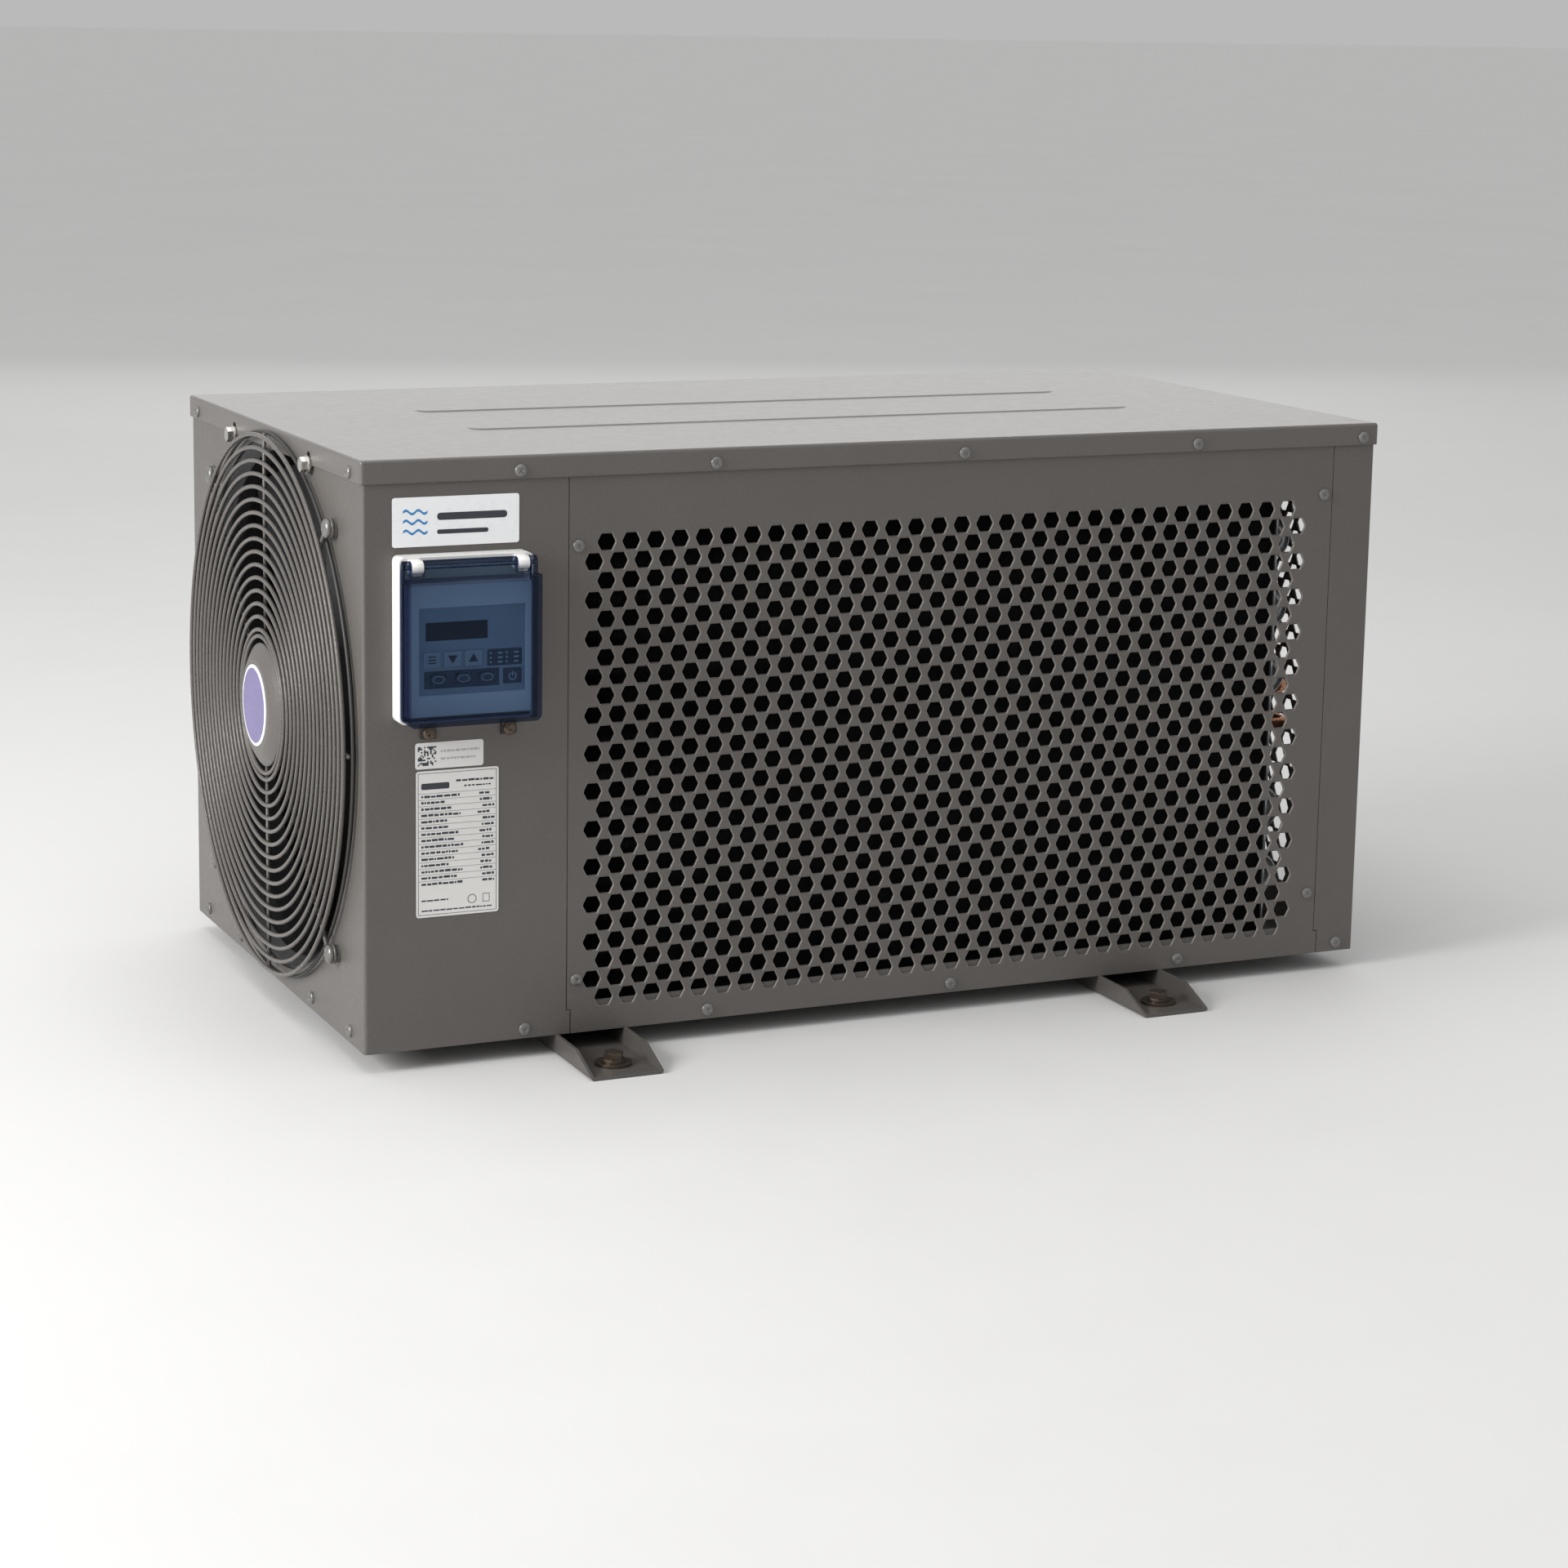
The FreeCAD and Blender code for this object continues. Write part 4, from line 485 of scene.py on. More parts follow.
def fan_guard():
    """Concentric wires in front, spokes behind them, then a rear ring and the eyes for the bolts."""
    shape = Shape()
    radii = [GUARD_RADIUS - GUARD_PITCH * i for i in range(16)] + [GUARD_RADIUS - GUARD_PITCH * 15.5]
    for radius in radii:
        shape.ring(at_fan(RING_PLANE), OUT, radius, WIRE, sides=max(64, int(radius * 900)))
    # The rear ring takes the darker paint: painted shade.
    shape.ring(at_fan(REAR_PLANE), OUT, GUARD_RADIUS + 2 * MM, REAR_WIRE, sides=200, kind=1)
    for number in range(8):
        angle = math.radians(45 * number)
        along = Y * math.cos(angle) + Z * math.sin(angle)
        length = (LONG_SPOKE if number % 2 else SHORT_SPOKE) - SPOKE_START
        shape.lathe(at_fan(SPOKE_PLANE) + along * SPOKE_START, along, [
            (0, 0), (SPOKE, 0), (SPOKE, length - 0.5 * MM), (SPOKE * 0.7, length), (0, length)], sides=14)
    for low, high in islands("guard_bolts"):
        eye = (low + high) / 2
        eye.x = CASE_LEFT - REAR_PLANE
        shape.ring(eye, OUT, EYE_RADIUS, REAR_WIRE, sides=40)
    shape.make("guard_wires", ["guard_wire", "guard_rear"], stands_for=["fan_guard"], slot="guard_wire")


def on_cap(profile):
    """A profile in millimetres measured from the back of the cap's rim, for a lathe at the case."""
    return [(r * MM, (h + CAP_RISE) * MM) for r, h in profile]


def guard_cap():
    """The dished cap in the middle of the guard, and the round badge in its well."""
    shape = Shape()
    for profile in (CAP_OUTSIDE, CAP_INSIDE):
        shape.lathe(at_fan(0), OUT, on_cap(profile), sides=96)
    made = shape.make("guard_cap_dish", ["case_paint"], stands_for=["guard_cap"], slot="case_paint")
    sharp_by_angle(made, 40)
    badge = Shape()
    badge.lathe(at_fan(0), OUT, on_cap(BADGE_RIM), sides=96, kind=1)
    badge.lathe(at_fan(0), OUT, on_cap(BADGE_FACE), sides=96, kind=0)
    made = badge.make("guard_badge_disc", ["badge", "label_white"], stands_for=["guard_badge"], slot="badge")
    sharp_by_angle(made, 60)


fan_guard()
guard_cap()


# ---------------------------------------------------------------- perforated sheets

PITCH, ROW = 19.0 * MM, 14.0 * MM
HALF_WIDE, HALF_TALL, HALF_TOP = 7.1 * MM, 6.7 * MM, 3.6 * MM
CORNER_CUT = 0.9 * MM
SHEET = 1.2 * MM
HOLE_STEPS = ((0.85 * MM, 0.0), (0.40 * MM, 0.14 * MM), (0.08 * MM, 0.45 * MM), (0.0, SHEET))  # growth, depth
GRILLE_COLUMNS, GRILLE_ROWS = 32, 25
FIRST_HOLE_X, FIRST_HOLE_RISE = -242.25 * MM, 25 * MM


def hole_points(grow):
    """A hexagonal hole with eased corners, enlarged by an amount."""
    scale = 1 + grow / HALF_TALL
    corners = [(HALF_WIDE, 0), (HALF_TOP, HALF_TALL), (-HALF_TOP, HALF_TALL),
               (-HALF_WIDE, 0), (-HALF_TOP, -HALF_TALL), (HALF_TOP, -HALF_TALL)]
    corners = [Vector(c) * scale for c in corners]
    points = []
    for number, corner in enumerate(corners):
        for other in (corners[number - 1], corners[(number + 1) % 6]):
            points.append(corner + (other - corner).normalized() * CORNER_CUT)
    return points


def flat_net(outline, loops):
    """A flat outline triangulated round loops: spots, triangles, and where each loop's points ended up."""
    flat = [Vector(p) for p in outline]
    edges = [(k, (k + 1) % len(outline)) for k in range(len(outline))]
    starts = []
    for loop in loops:
        start = len(flat)
        starts.append(start)
        flat += loop
        edges += [(start + k, start + (k + 1) % len(loop)) for k in range(len(loop))]
    found = delaunay_2d_cdt(flat, edges, [], 1, 1e-9)
    origins = {k: number for number, group in enumerate(found[3]) for k in group}
    places = [[origins.get(start + k, -1) for k in range(len(loop))] for start, loop in zip(starts, loops)]
    return found[0], found[2], places


def perforated(shape, front, outline, centres):
    """A punched sheet facing -Y: every hole has a rolled rim, a wall through the sheet and a back edge."""
    rings = [hole_points(grow) for grow, depth in HOLE_STEPS]
    spots, triangles, places = flat_net(outline, [[Vector(c) + point for point in rings[0]] for c in centres])
    cells = {}
    for centre in centres:
        cells.setdefault((round(centre[0] / PITCH), round(centre[1] / ROW)), []).append(centre)

    def open_at(u, v):
        column, row = round(u / PITCH), round(v / ROW)
        near = [c for i in (-1, 0, 1) for j in (-1, 0, 1) for c in cells.get((column + i, row + j), ())]
        slope = (HALF_WIDE - HALF_TOP) / HALF_TALL
        return any(abs(v - cv) < HALF_TALL and abs(u - cu) < HALF_WIDE - abs(v - cv) * slope for cu, cv in near)

    def lift(point, depth):
        return Vector((point[0], front + depth, point[1]))

    kept = [corners for corners in triangles
            if not open_at(*(sum(spots[k][i] for k in corners) / 3 for i in (0, 1)))]
    narrow = {}
    for place, centre in zip(places, centres):
        for k, point in zip(place, rings[-1]):
            narrow[k] = Vector(centre) + point
    backs = [narrow.get(k, p) for k, p in enumerate(spots)]
    for points, depth, turned in ((spots, 0, 1), (backs, SHEET, -1)):
        base = len(shape.points)
        shape.points += [lift(p, depth) for p in points]
        shape.faces += [tuple(base + k for k in corners)[::turned] for corners in kept]
        shape.kinds += [0] * len(kept)
    for centre in centres:
        rows = [[lift(Vector(centre) + point, depth) for point in loop]
                for loop, (grow, depth) in zip(rings, HOLE_STEPS)]
        # The rims and walls of the holes take the lighter paint: a painted highlight.
        shape.grid(rows, closed_columns=True, kind=1)
    shape.grid([[lift(p, depth) for p in outline] for depth in (SHEET, 0)], closed_columns=True)


def slab(shape, low, high):
    """A plain folded flange."""
    a, b = Vector(low), Vector(high)
    ring = [(a.x, a.y), (b.x, a.y), (b.x, b.y), (a.x, b.y)]
    rows = [[Vector((x, y, z)) for x, y in ring] for z in (a.z, b.z)]
    shape.grid(rows, closed_columns=True)
    shape.flat(rows[0][::-1])
    shape.flat(rows[1])


def hole_centres(first, columns, rows):
    """Staggered rows of holes; every other row, the lowest included, is one hole shorter."""
    centres = []
    for row in range(rows):
        inset = (row + 1) % 2
        for column in range(columns - inset):
            centres.append((first[0] + PITCH * (column + inset / 2), first[1] + ROW * row))
    return centres


def front_grille():
    """The punched front sheet, which steps in above its foot, with a folded flange at each side."""
    low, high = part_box("front_grille")
    step, knee = 3.0 * MM, low.z + 18.0 * MM
    left, right, top = low.x, high.x - step, high.z
    outline = [(left + step, low.z), (right + step, low.z), (right + step, knee), (right, knee),
               (right, top), (left, top), (left, knee), (left + step, knee)]
    centres = hole_centres((FIRST_HOLE_X, low.z + FIRST_HOLE_RISE), GRILLE_COLUMNS, GRILLE_ROWS)
    shape = Shape()
    perforated(shape, low.y, outline, centres)
    for x in (left, right - SHEET):
        slab(shape, (x, low.y + SHEET, low.z + 40 * MM), (x + SHEET, high.y, top - 20 * MM))
    # The second finish, for the holes' rims and walls, is the lighter paint: a painted highlight.
    made = shape.make("front_grille_sheet", ["sheet_paint", "rim_painted_highlight"],
                      stands_for=["front_grille"], slot="case_paint")
    sharp_by_angle(made, 50)
    flat_faces_first(made)


front_grille()


# ---------------------------------------------------------------- lid

LID_CORNER = 3.0 * MM
LID_PROFILE = ((1.2, 1.2), (1.2, 16.7), (0.9, 17.0), (0.3, 17.0), (0.0, 16.7), (0.0, 2.4), (0.18, 1.48),
               (0.7, 0.7), (1.48, 0.18), (2.4, 0.0))  # mm in from the outline, mm down from the top
BEAD_STEPS = ((12.6, 0.0), (11.8, 0.12), (10.9, 0.45), (10.0, 0.78), (9.0, 0.9))  # mm half width, mm up
BEAD_STRAIGHT = 269.5  # mm, half the straight length of a bead
BEAD_PLACES = (62 * MM, -62 * MM)
NOTCH_HALF, NOTCH_ROUND, NOTCH_FOOT = 4.5, 5, -10  # mm, from the middle of a bracket bolt


def rounded_loop(low, high, inset, radius, steps=6):
    """A rounded rectangle, anticlockwise, as (x, y) pairs."""
    x0, y0, x1, y1 = low.x + inset, low.y + inset, high.x - inset, high.y - inset
    r = max(radius - inset, 0.4 * MM)
    loop = []
    for cx, cy, first in ((x1 - r, y0 + r, -90), (x1 - r, y1 - r, 0),
                          (x0 + r, y1 - r, 90), (x0 + r, y0 + r, 180)):
        for step in range(steps + 1):
            turn = math.radians(first + 90 * step / steps)
            loop.append((cx + r * math.cos(turn), cy + r * math.sin(turn)))
    return loop


def tidy_mesh(obj):
    """Join the runs of an object into one closed skin that faces outward."""
    mesh = bmesh.new()
    mesh.from_mesh(obj.data)
    bmesh.ops.remove_doubles(mesh, verts=mesh.verts, dist=1e-6)
    bmesh.ops.recalc_face_normals(mesh, faces=mesh.faces)
    mesh.to_mesh(obj.data)
    mesh.free()


def without(obj, cutters):
    """The object's mesh with other shapes cut out of it."""
    for cutter in cutters:
        change = obj.modifiers.new("cut", "BOOLEAN")
        change.operation = "DIFFERENCE"
        change.solver = "EXACT"
        change.object = cutter
    seen = obj.evaluated_get(bpy.context.evaluated_depsgraph_get())
    mesh = bpy.data.meshes.new_from_object(seen)
    obj.modifiers.clear()
    for cutter in cutters:
        bpy.data.objects.remove(cutter)
    obj.data = mesh
    return obj


def notch_cutter(x, bolt_low, bolt_high):
    """A round-topped block through the lid's flange over a bracket bolt."""
    y, z = (bolt_low.y + bolt_high.y) / 2, (bolt_low.z + bolt_high.z) / 2
    arch = [math.radians(15 * k) for k in range(13)]
    outline = [(-NOTCH_HALF, NOTCH_FOOT), (NOTCH_HALF, NOTCH_FOOT)]
    outline += [(NOTCH_HALF * math.cos(a), NOTCH_ROUND + NOTCH_HALF * math.sin(a)) for a in arch]
    rows = [[Vector((x + side * 4 * MM, y + v * MM, z + w * MM)) for v, w in outline] for side in (-1, 1)]
    block = Shape()
    block.grid(rows, closed_columns=True)
    block.flat(rows[0][::-1])
    block.flat(rows[1])
    mesh = bpy.data.meshes.new("notch")
    mesh.from_pydata([tuple(p) for p in block.points], [], block.faces)
    cutter = bpy.data.objects.new("notch", mesh)
    bpy.context.scene.collection.objects.link(cutter)
    tidy_mesh(cutter)
    return cutter


def bead_loops(y, top):
    """The rising outlines of one pressed bead along the lid."""
    loops = []
    for half, lift in BEAD_STEPS:
        reach = (BEAD_STRAIGHT + half) * MM
        corners = Vector((-reach, y - half * MM, 0)), Vector((reach, y + half * MM, 0))
        loops.append([Vector((a, b, top + lift * MM)) for a, b in rounded_loop(*corners, 0, half * MM, 10)])
    return loops


def lid():
    """The folded lid: rolled edges, two pressed beads and two notches for the bracket bolts."""
    low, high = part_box("lid")
    top = high.z - BEAD_STEPS[-1][1] * MM
    shape = Shape()
    rows = [[Vector((x, y, top - drop * MM)) for x, y in rounded_loop(low, high, inset * MM, LID_CORNER)]
            for inset, drop in LID_PROFILE]
    shape.grid(rows, closed_columns=True)
    shape.flat(rows[0])
    beads = [bead_loops(y, top) for y in BEAD_PLACES]
    rim = rounded_loop(low, high, LID_PROFILE[-1][0] * MM, LID_CORNER)
    spots, triangles, places = flat_net(rim, [[p.xy for p in loops[0]] for loops in beads])
    base = len(shape.points)
    shape.points += [Vector((p[0], p[1], top)) for p in spots]
    for corners in triangles:
        x, y = (sum(spots[k][i] for k in corners) / len(corners) for i in (0, 1))
        past = max(abs(x) - BEAD_STRAIGHT * MM, 0)
        if not any(math.hypot(past, y - place) < BEAD_STEPS[0][0] * MM * 0.999 for place in BEAD_PLACES):
            shape.faces.append(tuple(base + k for k in corners))
            shape.kinds.append(0)
    for loops in beads:
        shape.grid(loops, closed_columns=True)
        shape.flat(loops[-1])
    made = shape.make("lid_tray", ["lid_paint"], stands_for=["lid"], slot="case_paint")
    tidy_mesh(made)
    without(made, [notch_cutter(low.x, *bolt) for bolt in islands("bracket_bolts")])
    sharp_by_angle(made, 40)
    flat_faces_first(made)


lid()


# ---------------------------------------------------------------- coil

fins_low, fins_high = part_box("evaporator_fins")
FIN_PITCH = 2.1 * MM
TUBE_PITCH, TUBE_RADIUS = 26.2 * MM, 4.8 * MM
TUBE_ROWS = ((10 * MM, 12 * MM), (26 * MM, 25 * MM))  # depth behind the fins' face, height of the first tube


def coil():
    """Upright corrugated fins with the rows of tubes that run through them."""
    shape = Shape()
    count = int((fins_high.x - fins_low.x) / FIN_PITCH)
    rng = random.Random(7)
    for number in range(count + 1):
        x = fins_low.x + number * FIN_PITCH
        lean = rng.uniform(-0.25, 0.25) * MM
        rows = []
        for z in (fins_low.z, fins_high.z):
            row = []
            for step in range(7):
                share = step / 6
                y = fins_low.y + share * (fins_high.y - fins_low.y)
                ripple = 0.35 * MM * (step % 2) + lean * (1 - share)
                row.append(Vector((min(max(x + ripple, fins_low.x), fins_high.x), y, z)))
            rows.append(row)
        shape.grid(rows)
    for number in range(15):
        for depth, first in TUBE_ROWS:
            z = fins_low.z + first + TUBE_PITCH * number
            if z > fins_high.z - 6 * MM:
                continue
            base = Vector((fins_low.x, fins_low.y + depth, z))
            shape.lathe(base, X, [(TUBE_RADIUS, 0), (TUBE_RADIUS, fins_high.x - fins_low.x)], sides=12)
    # The near black finish of the fins is painted shade.
    shape.make("coil_fins", ["fins"], stands_for=["evaporator_fins"], slot="fins", smooth=False)


coil()


# ---------------------------------------------------------------- labels and control face

FACE_OUT = -Y
INK_LIFT = 0.05  # mm, from a sticker to the print on it
FILM_LIFT = 0.04  # mm, from the controller's face to the film, and from a key to its symbol
LAYER = 0.03  # mm, from one printed layer of the film to the next
KEY_GAP = 0.1  # mm, from a key to the edge of its window in the film


class Print(Shape):
    """Marks on a flat face, drawn in millimetres from a corner."""

    def __init__(self, corner, lift=0.06):
        super().__init__()
        self.corner = corner + FACE_OUT * lift * MM

    def at(self, u, v):
        return self.corner + X * (u * MM) + Z * (v * MM)

    def bar(self, left, low, wide, tall, kind=0, corner=0.0):
        """A rectangle, with rounded corners if it is given a radius."""
        right, high = left + wide, low + tall
        if corner <= 0:
            self.flat([self.at(left, low), self.at(right, low),
                       self.at(right, high), self.at(left, high)], kind)
            return
        points = []
        for cx, cz, first in ((right - corner, low + corner, -90), (right - corner, high - corner, 0),
                              (left + corner, high - corner, 90), (left + corner, low + corner, 180)):
            for step in range(6):
                turn = math.radians(first + 90 * step / 5)
                points.append(self.at(cx + corner * math.cos(turn), cz + corner * math.sin(turn)))
        self.flat(points, kind)

    def outline(self, left, low, wide, tall, line, kind=0):
        """A rectangle drawn as four lines."""
        self.bar(left, low, wide, line, kind)
        self.bar(left, low + tall - line, wide, line, kind)
        self.bar(left, low + line, line, tall - 2 * line, kind)
        self.bar(left + wide - line, low + line, line, tall - 2 * line, kind)

    def words(self, rng, left, low, wide, tall, kind=0):
        """Short strokes that read as small print from a distance."""
        here = left
        while here < left + wide - 0.8:
            run = min(rng.uniform(1.2, 5.0), left + wide - here)
            self.bar(here, low + rng.uniform(0, 0.1) * tall, run, tall * rng.uniform(0.75, 0.95), kind)
            here += run + rng.uniform(0.5, 0.9)

    def windowed(self, left, low, wide, tall, windows, kind=0):
        """A bar with rectangular windows left open; each window is (left, low, right, top)."""
        right, high = left + wide, low + tall
        columns = sorted({left, right} | {side for w in windows for side in w[::2] if left < side < right})
        rows = sorted({low, high} | {side for w in windows for side in w[1::2] if low < side < high})
        for u, u_next in zip(columns, columns[1:]):
            for v, v_next in zip(rows, rows[1:]):
                u_mid, v_mid = (u + u_next) / 2, (v + v_next) / 2
                if not any(w[0] < u_mid < w[2] and w[1] < v_mid < w[3] for w in windows):
                    self.bar(u, v, u_next - u, v_next - v, kind)

    def polygon(self, corners, kind=0):
        self.flat([self.at(u, v) for u, v in corners], kind)

    def arc(self, u, v, radius, line, first, last, kind=0, steps=28):
        """A curved line from one angle to another, in degrees."""
        inner, outer = radius - line / 2, radius + line / 2
        rows = [[], []]
        for step in range(steps + 1):
            turn = math.radians(first + (last - first) * step / steps)
            for row, r in zip(rows, (inner, outer)):
                row.append(self.at(u + r * math.cos(turn), v + r * math.sin(turn)))
        self.grid(rows, kind=kind)


def sticker(node):
    """A rounded sticker over its CAD sheet, ready for print, with its width and height in millimetres."""
    low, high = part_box(node)
    wide, tall = (high.x - low.x) / MM, (high.z - low.z) / MM
    shape = Print(low.copy(), 0.0)
    shape.bar(0, 0, wide, tall, 0, corner=2.0)
    shape.corner = low + FACE_OUT * INK_LIFT * MM
    return shape, wide, tall


def name_plate():
    """Three waves and two plain bars."""
    shape, wide, tall = sticker("name_plate")
    for number in range(3):
        v = tall * (0.30 + 0.20 * number)
        rows = [[], []]
        for step in range(25):
            u = 8 + 18 * step / 24
            lift = 1.3 * math.sin(step / 24 * 4 * math.pi)
            rows[0].append(shape.at(u, v + lift - 0.9))
            rows[1].append(shape.at(u, v + lift + 0.9))
        shape.grid(rows, kind=2)
    shape.bar(33, tall * 0.52, 52, 5.2, 1, corner=2.4)
    shape.bar(33, tall * 0.24, 38, 3.2, 1, corner=1.5)
    shape.make("name_plate_print", ["label_white", "ink", "blue_ink"],
               stands_for=["name_plate"], slot="label", smooth=False)


def serial_label():
    """A square of random cells, which holds no code, and two rows of strokes."""
    shape, wide, tall = sticker("serial_label")
    rng = random.Random(21)
    cell = 1.15
    for i in range(12):
        for j in range(12):
            if rng.random() < 0.48:
                shape.bar(2 + cell * i, 2.4 + cell * j, cell, cell, 1)
    shape.words(rng, 19, 11.5, 29, 1.8, 2)
    shape.words(rng, 19, 6.0, 26, 1.8, 2)
    shape.make("serial_label_print", ["label", "ink", "grey_ink"],
               stands_for=["serial_label"], slot="label", smooth=False)


def rating_label():
    """A border, a dark bar, fifteen ruled rows of strokes in two columns, and two plain symbols."""
    shape, wide, tall = sticker("rating_label")
    rng = random.Random(5)
    shape.outline(1.6, 1.6, wide - 3.2, tall - 3.2, 0.35, 1)
    shape.bar(4, tall - 13.5, 21, 4.6, 1, corner=1.2)
    shape.words(rng, 30, tall - 9.2, 28, 1.7, 1)
    shape.words(rng, 36, tall - 13.0, 20, 1.2, 1)
    top, pitch = tall - 19.5, 4.55
    for row in range(15):
        v = top - pitch * row
        shape.bar(2.0, v + 3.0, wide - 4.0, 0.22, 1)
        shape.words(rng, 4, v, rng.uniform(16, 34), 1.9, 1)
        shape.words(rng, wide - 16 + rng.uniform(0, 4), v, 9, 1.9, 1)
    shape.words(rng, 4, 11.5, 20, 1.2, 1)
    shape.arc(wide - 20, 11.0, 3.1, 0.5, 0, 360, 1)
    shape.outline(wide - 12, 8.0, 5.2, 6.2, 0.4, 1)
    shape.words(rng, 4, 4.2, wide - 8, 1.2, 1)
    shape.make("rating_label_print", ["label", "ink"], stands_for=["rating_label"], slot="label", smooth=False)


name_plate()
serial_label()
rating_label()


def control_film():
    """The film on the sunken panel, with a window round each key, its dark fields, lamps and display."""
    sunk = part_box("controller_body")[0].y + 1.0 * MM
    keys = {k: [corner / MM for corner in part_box(k)] for k in nodes if k.startswith("key_")}
    windows = [(low.x - KEY_GAP, low.z - KEY_GAP, high.x + KEY_GAP, high.z + KEY_GAP)
               for low, high in keys.values()]
    shape = Print(Vector((0, sunk, 0)), FILM_LIFT)
    shape.windowed(-381.2, 277.2, 78.6, 61.6, windows, 0)
    shape.corner += FACE_OUT * LAYER * MM
    left, right = keys["key_first_option"][0].x - 4.5, keys["key_third_option"][1].x + 3.0
    shape.windowed(left, 281.6, right - left, 12.6, windows, 1)
    lamps = keys["key_up"][1].x + 3.6
    shape.bar(lamps, 295.6, 26, 12.0, 1, corner=1.2)
    shape.corner += FACE_OUT * LAYER * MM
    for row in range(3):
        for column in range(4):
            shape.bar(lamps + 2 + 6.0 * column, 297.6 + 3.2 * row, 3.4 if column % 2 else 1.4, 1.0, 2)
    low, high = (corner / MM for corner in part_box("controller_display"))
    shape.bar(low.x, low.z, high.x - low.x, high.z - low.z, 3, corner=0.5)
    shape.make("control_marks", ["panel_film", "key_dark", "pale_ink", "display"], slot="display", smooth=False)


def key_mark(key, ink, draw, *how):
    """A symbol on a key, drawn round the key's middle, that rides with its cap."""
    low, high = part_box(key)
    mark = Print(Vector((0, low.y, 0)), FILM_LIFT)
    draw(mark, (low.x + high.x) / 2 / MM, (low.z + high.z) / 2 / MM, *how)
    mark.make(key + "_mark", [ink], body=key + "_cap", slot="display", smooth=False)


def oval(mark, u, v):
    rows = [[], []]
    for step in range(41):
        turn = 2 * math.pi * step / 40
        for row, grow in zip(rows, (0.0, 0.45)):
            row.append(mark.at(u + (3.9 + grow) * math.cos(turn), v + (2.2 + grow) * math.sin(turn)))
    mark.grid(rows)


def arrow(mark, u, v, way):
    """A triangle that points up (way 1) or down (way -1)."""
    mark.polygon([(u - 3.6, v - 2.6 * way), (u + 3.6, v - 2.6 * way), (u, v + 3.2 * way)][::way])


def three_lines(mark, u, v):
    for row in (-2.2, 0, 2.2):
        mark.bar(u - 2.8, v + row - 0.45, 5.6, 0.9)


def power(mark, u, v):
    mark.arc(u, v - 0.4, 2.6, 0.7, 120, 420)
    mark.bar(u - 0.35, v - 0.4, 0.7, 3.4)


control_film()
for key in ("key_first_option", "key_second_option", "key_third_option"):
    key_mark(key, "pale_ink", oval)
key_mark("key_down", "ink", arrow, -1)
key_mark("key_up", "ink", arrow, 1)
key_mark("key_mode", "ink", three_lines)
key_mark("key_power", "pale_ink", power)


# ---------------------------------------------------------------- finishes of the CAD nodes

slots = {row["node"]: row["material_slot"] for row in frame["record"]["subparts"]}
special = {
    "foot_bolts": "bronze_zinc", "foot_washers": "bronze_zinc", "control_box_base": "box_plastic",
    "key_power": "key_dark", "key_first_option": "key_dark", "key_second_option": "key_dark",
    "key_third_option": "key_dark",
}
for name, obj in nodes.items():
    if obj.hide_render:
        continue
    obj.data.materials.clear()
    obj.data.materials.append(materials[special.get(name, slots[name])])


def soften(name, width, steps=2):
    """Round the folds and cut edges of a moulding."""
    obj = nodes[name]
    weld = obj.modifiers.new("weld", "WELD")
    weld.merge_threshold = 2e-6
    flat = obj.modifiers.new("flat", "DECIMATE")
    flat.decimate_type = "DISSOLVE"
    flat.angle_limit = math.radians(0.6)
    bevel = obj.modifiers.new("edges", "BEVEL")
    bevel.limit_method = "ANGLE"
    bevel.angle_limit = math.radians(35)
    bevel.width = width * MM
    bevel.segments = steps
    bevel.harden_normals = True
    bevel.use_clamp_overlap = True


for name, width in (("foot_rail_left", 0.9), ("foot_rail_right", 0.9), ("control_box_base", 0.5)):
    soften(name, width)


# ---------------------------------------------------------------- stage

FLOOR_REACH = 150.0  # far enough that its edge can't be seen


def floor():
    mesh = bpy.data.meshes.new("floor")
    corners = [(FLOOR_REACH * x, FLOOR_REACH * y, 0) for x, y in ((-1, -1), (1, -1), (1, 1), (-1, 1))]
    mesh.from_pydata(corners, [], [(0, 1, 2, 3)])
    mesh.materials.append(surface("floor", (0.66, 0.655, 0.65), 0.7, mottle=0.015, grit_and_glints=0.0, grain=200,
                                  patch=1.5, bump=0.02, edge=0))
    obj = bpy.data.objects.new("floor", mesh)
    bpy.context.scene.collection.objects.link(obj)


def area_light(name, at, aim, wide, power, tall=None):
    light = bpy.data.lights.new(name, "AREA")
    light.shape = "RECTANGLE"
    light.size = wide
    light.size_y = tall or wide
    light.energy = power
    obj = bpy.data.objects.new(name, light)
    bpy.context.scene.collection.objects.link(obj)
    obj.location = at
    obj.rotation_euler = (Vector(aim) - Vector(at)).to_track_quat("-Z", "Y").to_euler()


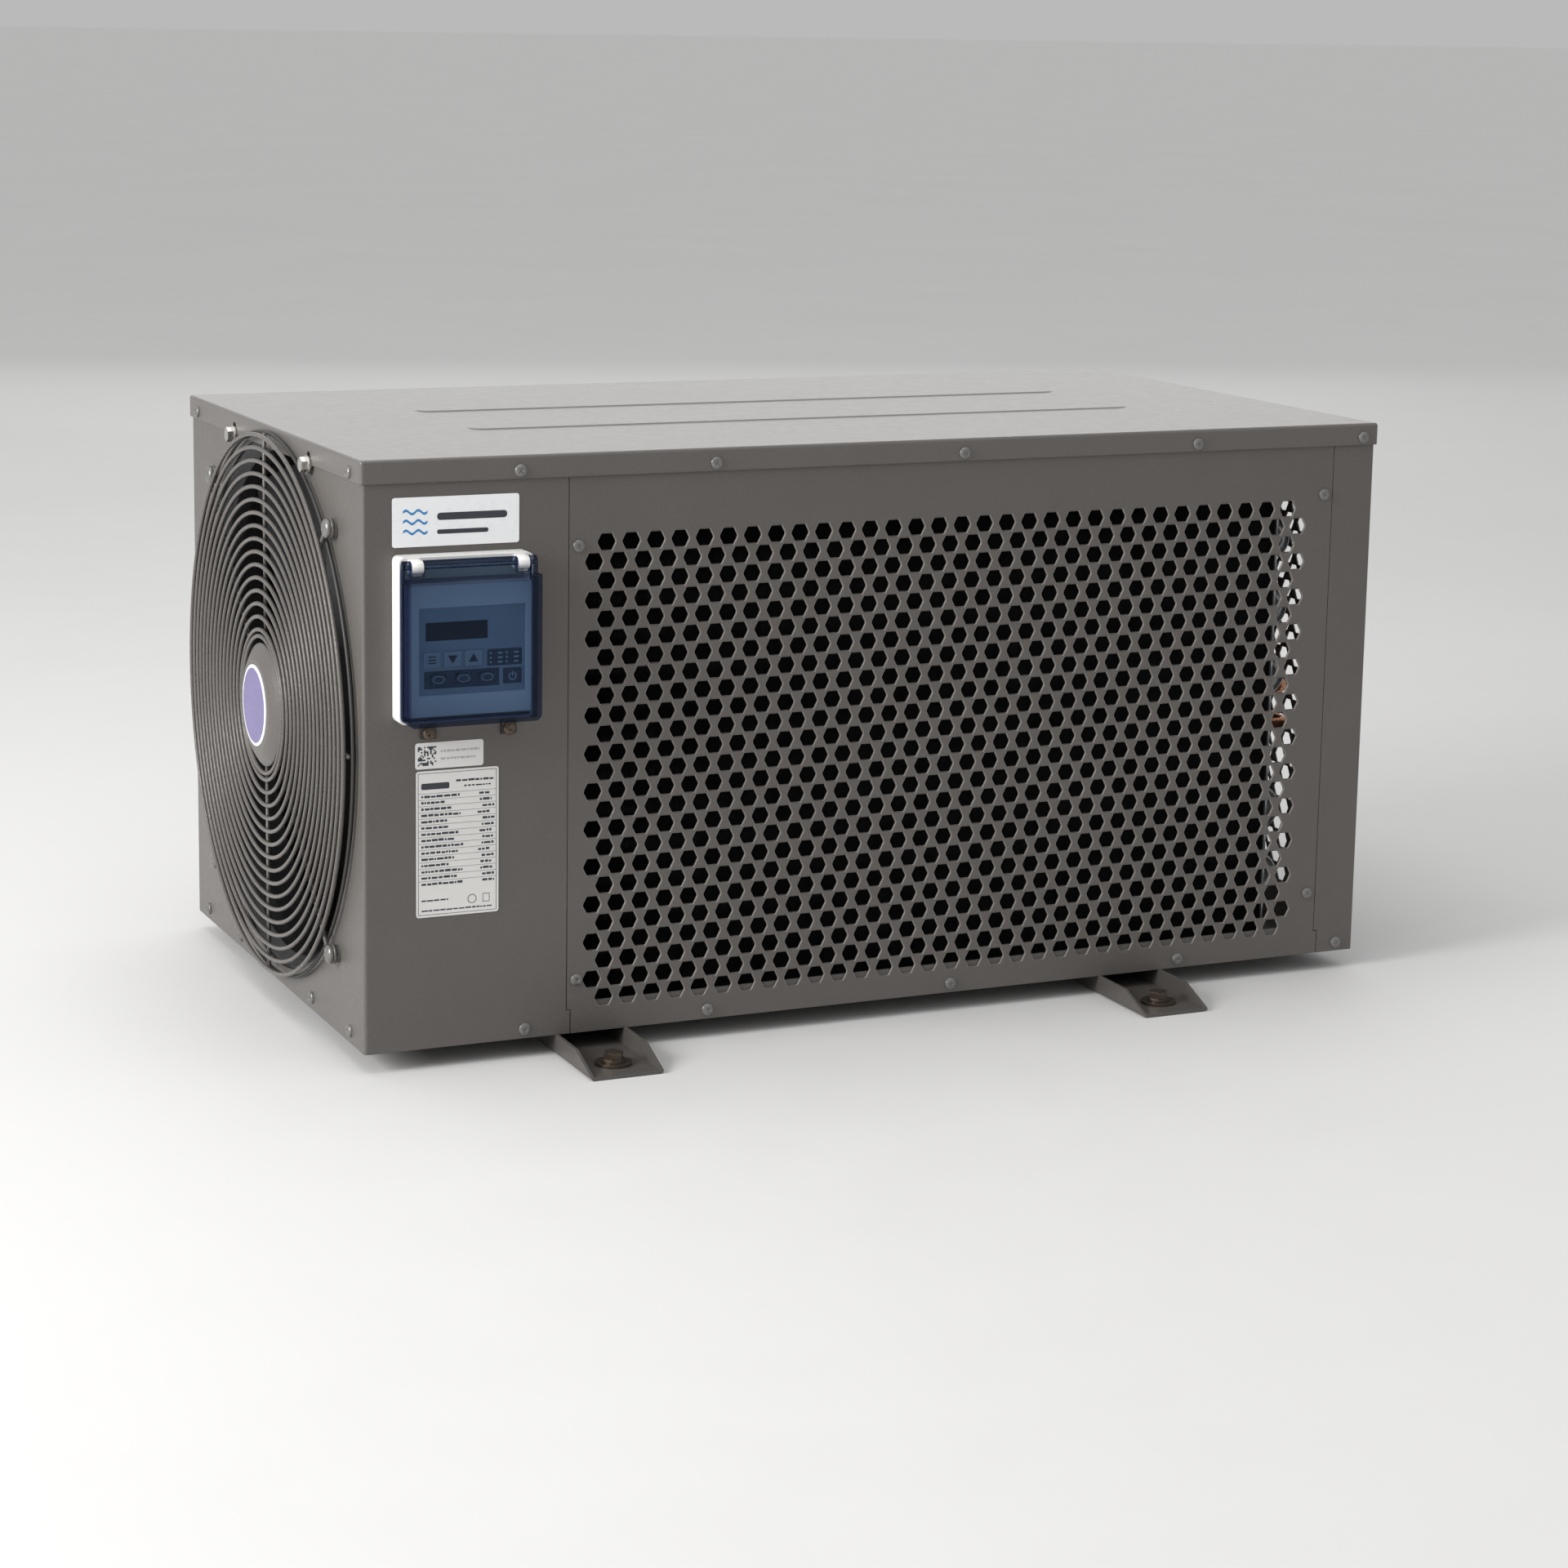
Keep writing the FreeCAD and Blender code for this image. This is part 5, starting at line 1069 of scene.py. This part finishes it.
def studio(low_tone, strength):
    """A world that brightens from a grey at the horizon to white overhead."""
    world = bpy.data.worlds.new("studio")
    bpy.context.scene.world = world
    world.use_nodes = True
    sky = world.node_tree
    place = sky.nodes.new("ShaderNodeTexCoord")
    split = sky.nodes.new("ShaderNodeSeparateXYZ")
    rise = sky.nodes.new("ShaderNodeMapRange")
    tone = sky.nodes.new("ShaderNodeMix")
    tone.data_type = "RGBA"
    sky.links.new(place.outputs["Generated"], split.inputs[0])
    sky.links.new(split.outputs["Z"], rise.inputs["Value"])
    rise.inputs["From Min"].default_value = 0.02
    rise.inputs["From Max"].default_value = 0.75
    sky.links.new(rise.outputs[0], tone.inputs[0])
    tints = [item for item in tone.inputs if item.type == "RGBA"]
    tints[0].default_value = (low_tone, low_tone, low_tone, 1)
    tints[1].default_value = (1.0, 1.0, 1.0, 1)
    result = [item for item in tone.outputs if item.type == "RGBA"][0]
    sky.links.new(result, sky.nodes["Background"].inputs["Color"])
    sky.nodes["Background"].inputs["Strength"].default_value = strength


floor()
studio(0.68, 0.72)
area_light("overhead", (-0.4, 0.0, 2.8), (0, 0, 0.3), 2.4, 24, 1.8)
area_light("backdrop", (1.6, 4.4, 1.5), (0.2, 0, 0.4), 3.6, 13, 1.5)
area_light("key", (-3.3, -0.6, 1.5), (-0.4, 0, 0.15), 1.5, 122)
area_light("fill", (2.2, -3.0, 1.6), (0, 0, 0.2), 1.8, 1.5)

# ---------------------------------------------------------------- camera

# The view was fitted to the photograph: where the camera stands, how it is turned, and its shifted lens.
CAMERA_AT = Vector((-1.1512, -2.5502, 0.7442))
HEADING, DROP, ROLL = math.radians(24.30), math.radians(10.20), math.radians(0.915)
camera = bpy.data.cameras.new("camera")
camera.sensor_width = 36.0
camera.lens = 81.1
camera.shift_x, camera.shift_y = 0.0068, -0.0813
camera_object = bpy.data.objects.new("camera", camera)
bpy.context.scene.collection.objects.link(camera_object)
forward = Vector((math.sin(HEADING) * math.cos(DROP), math.cos(HEADING) * math.cos(DROP), -math.sin(DROP)))
level = forward.cross(Z).normalized()
right = level * math.cos(ROLL) - forward.cross(level) * math.sin(ROLL)
up = right.cross(forward)
turn = Matrix((right, up, -forward)).transposed().to_4x4()
camera_object.matrix_world = Matrix.Translation(CAMERA_AT) @ turn
bpy.context.scene.camera = camera_object
bpy.context.scene.view_settings.view_transform = "Standard"
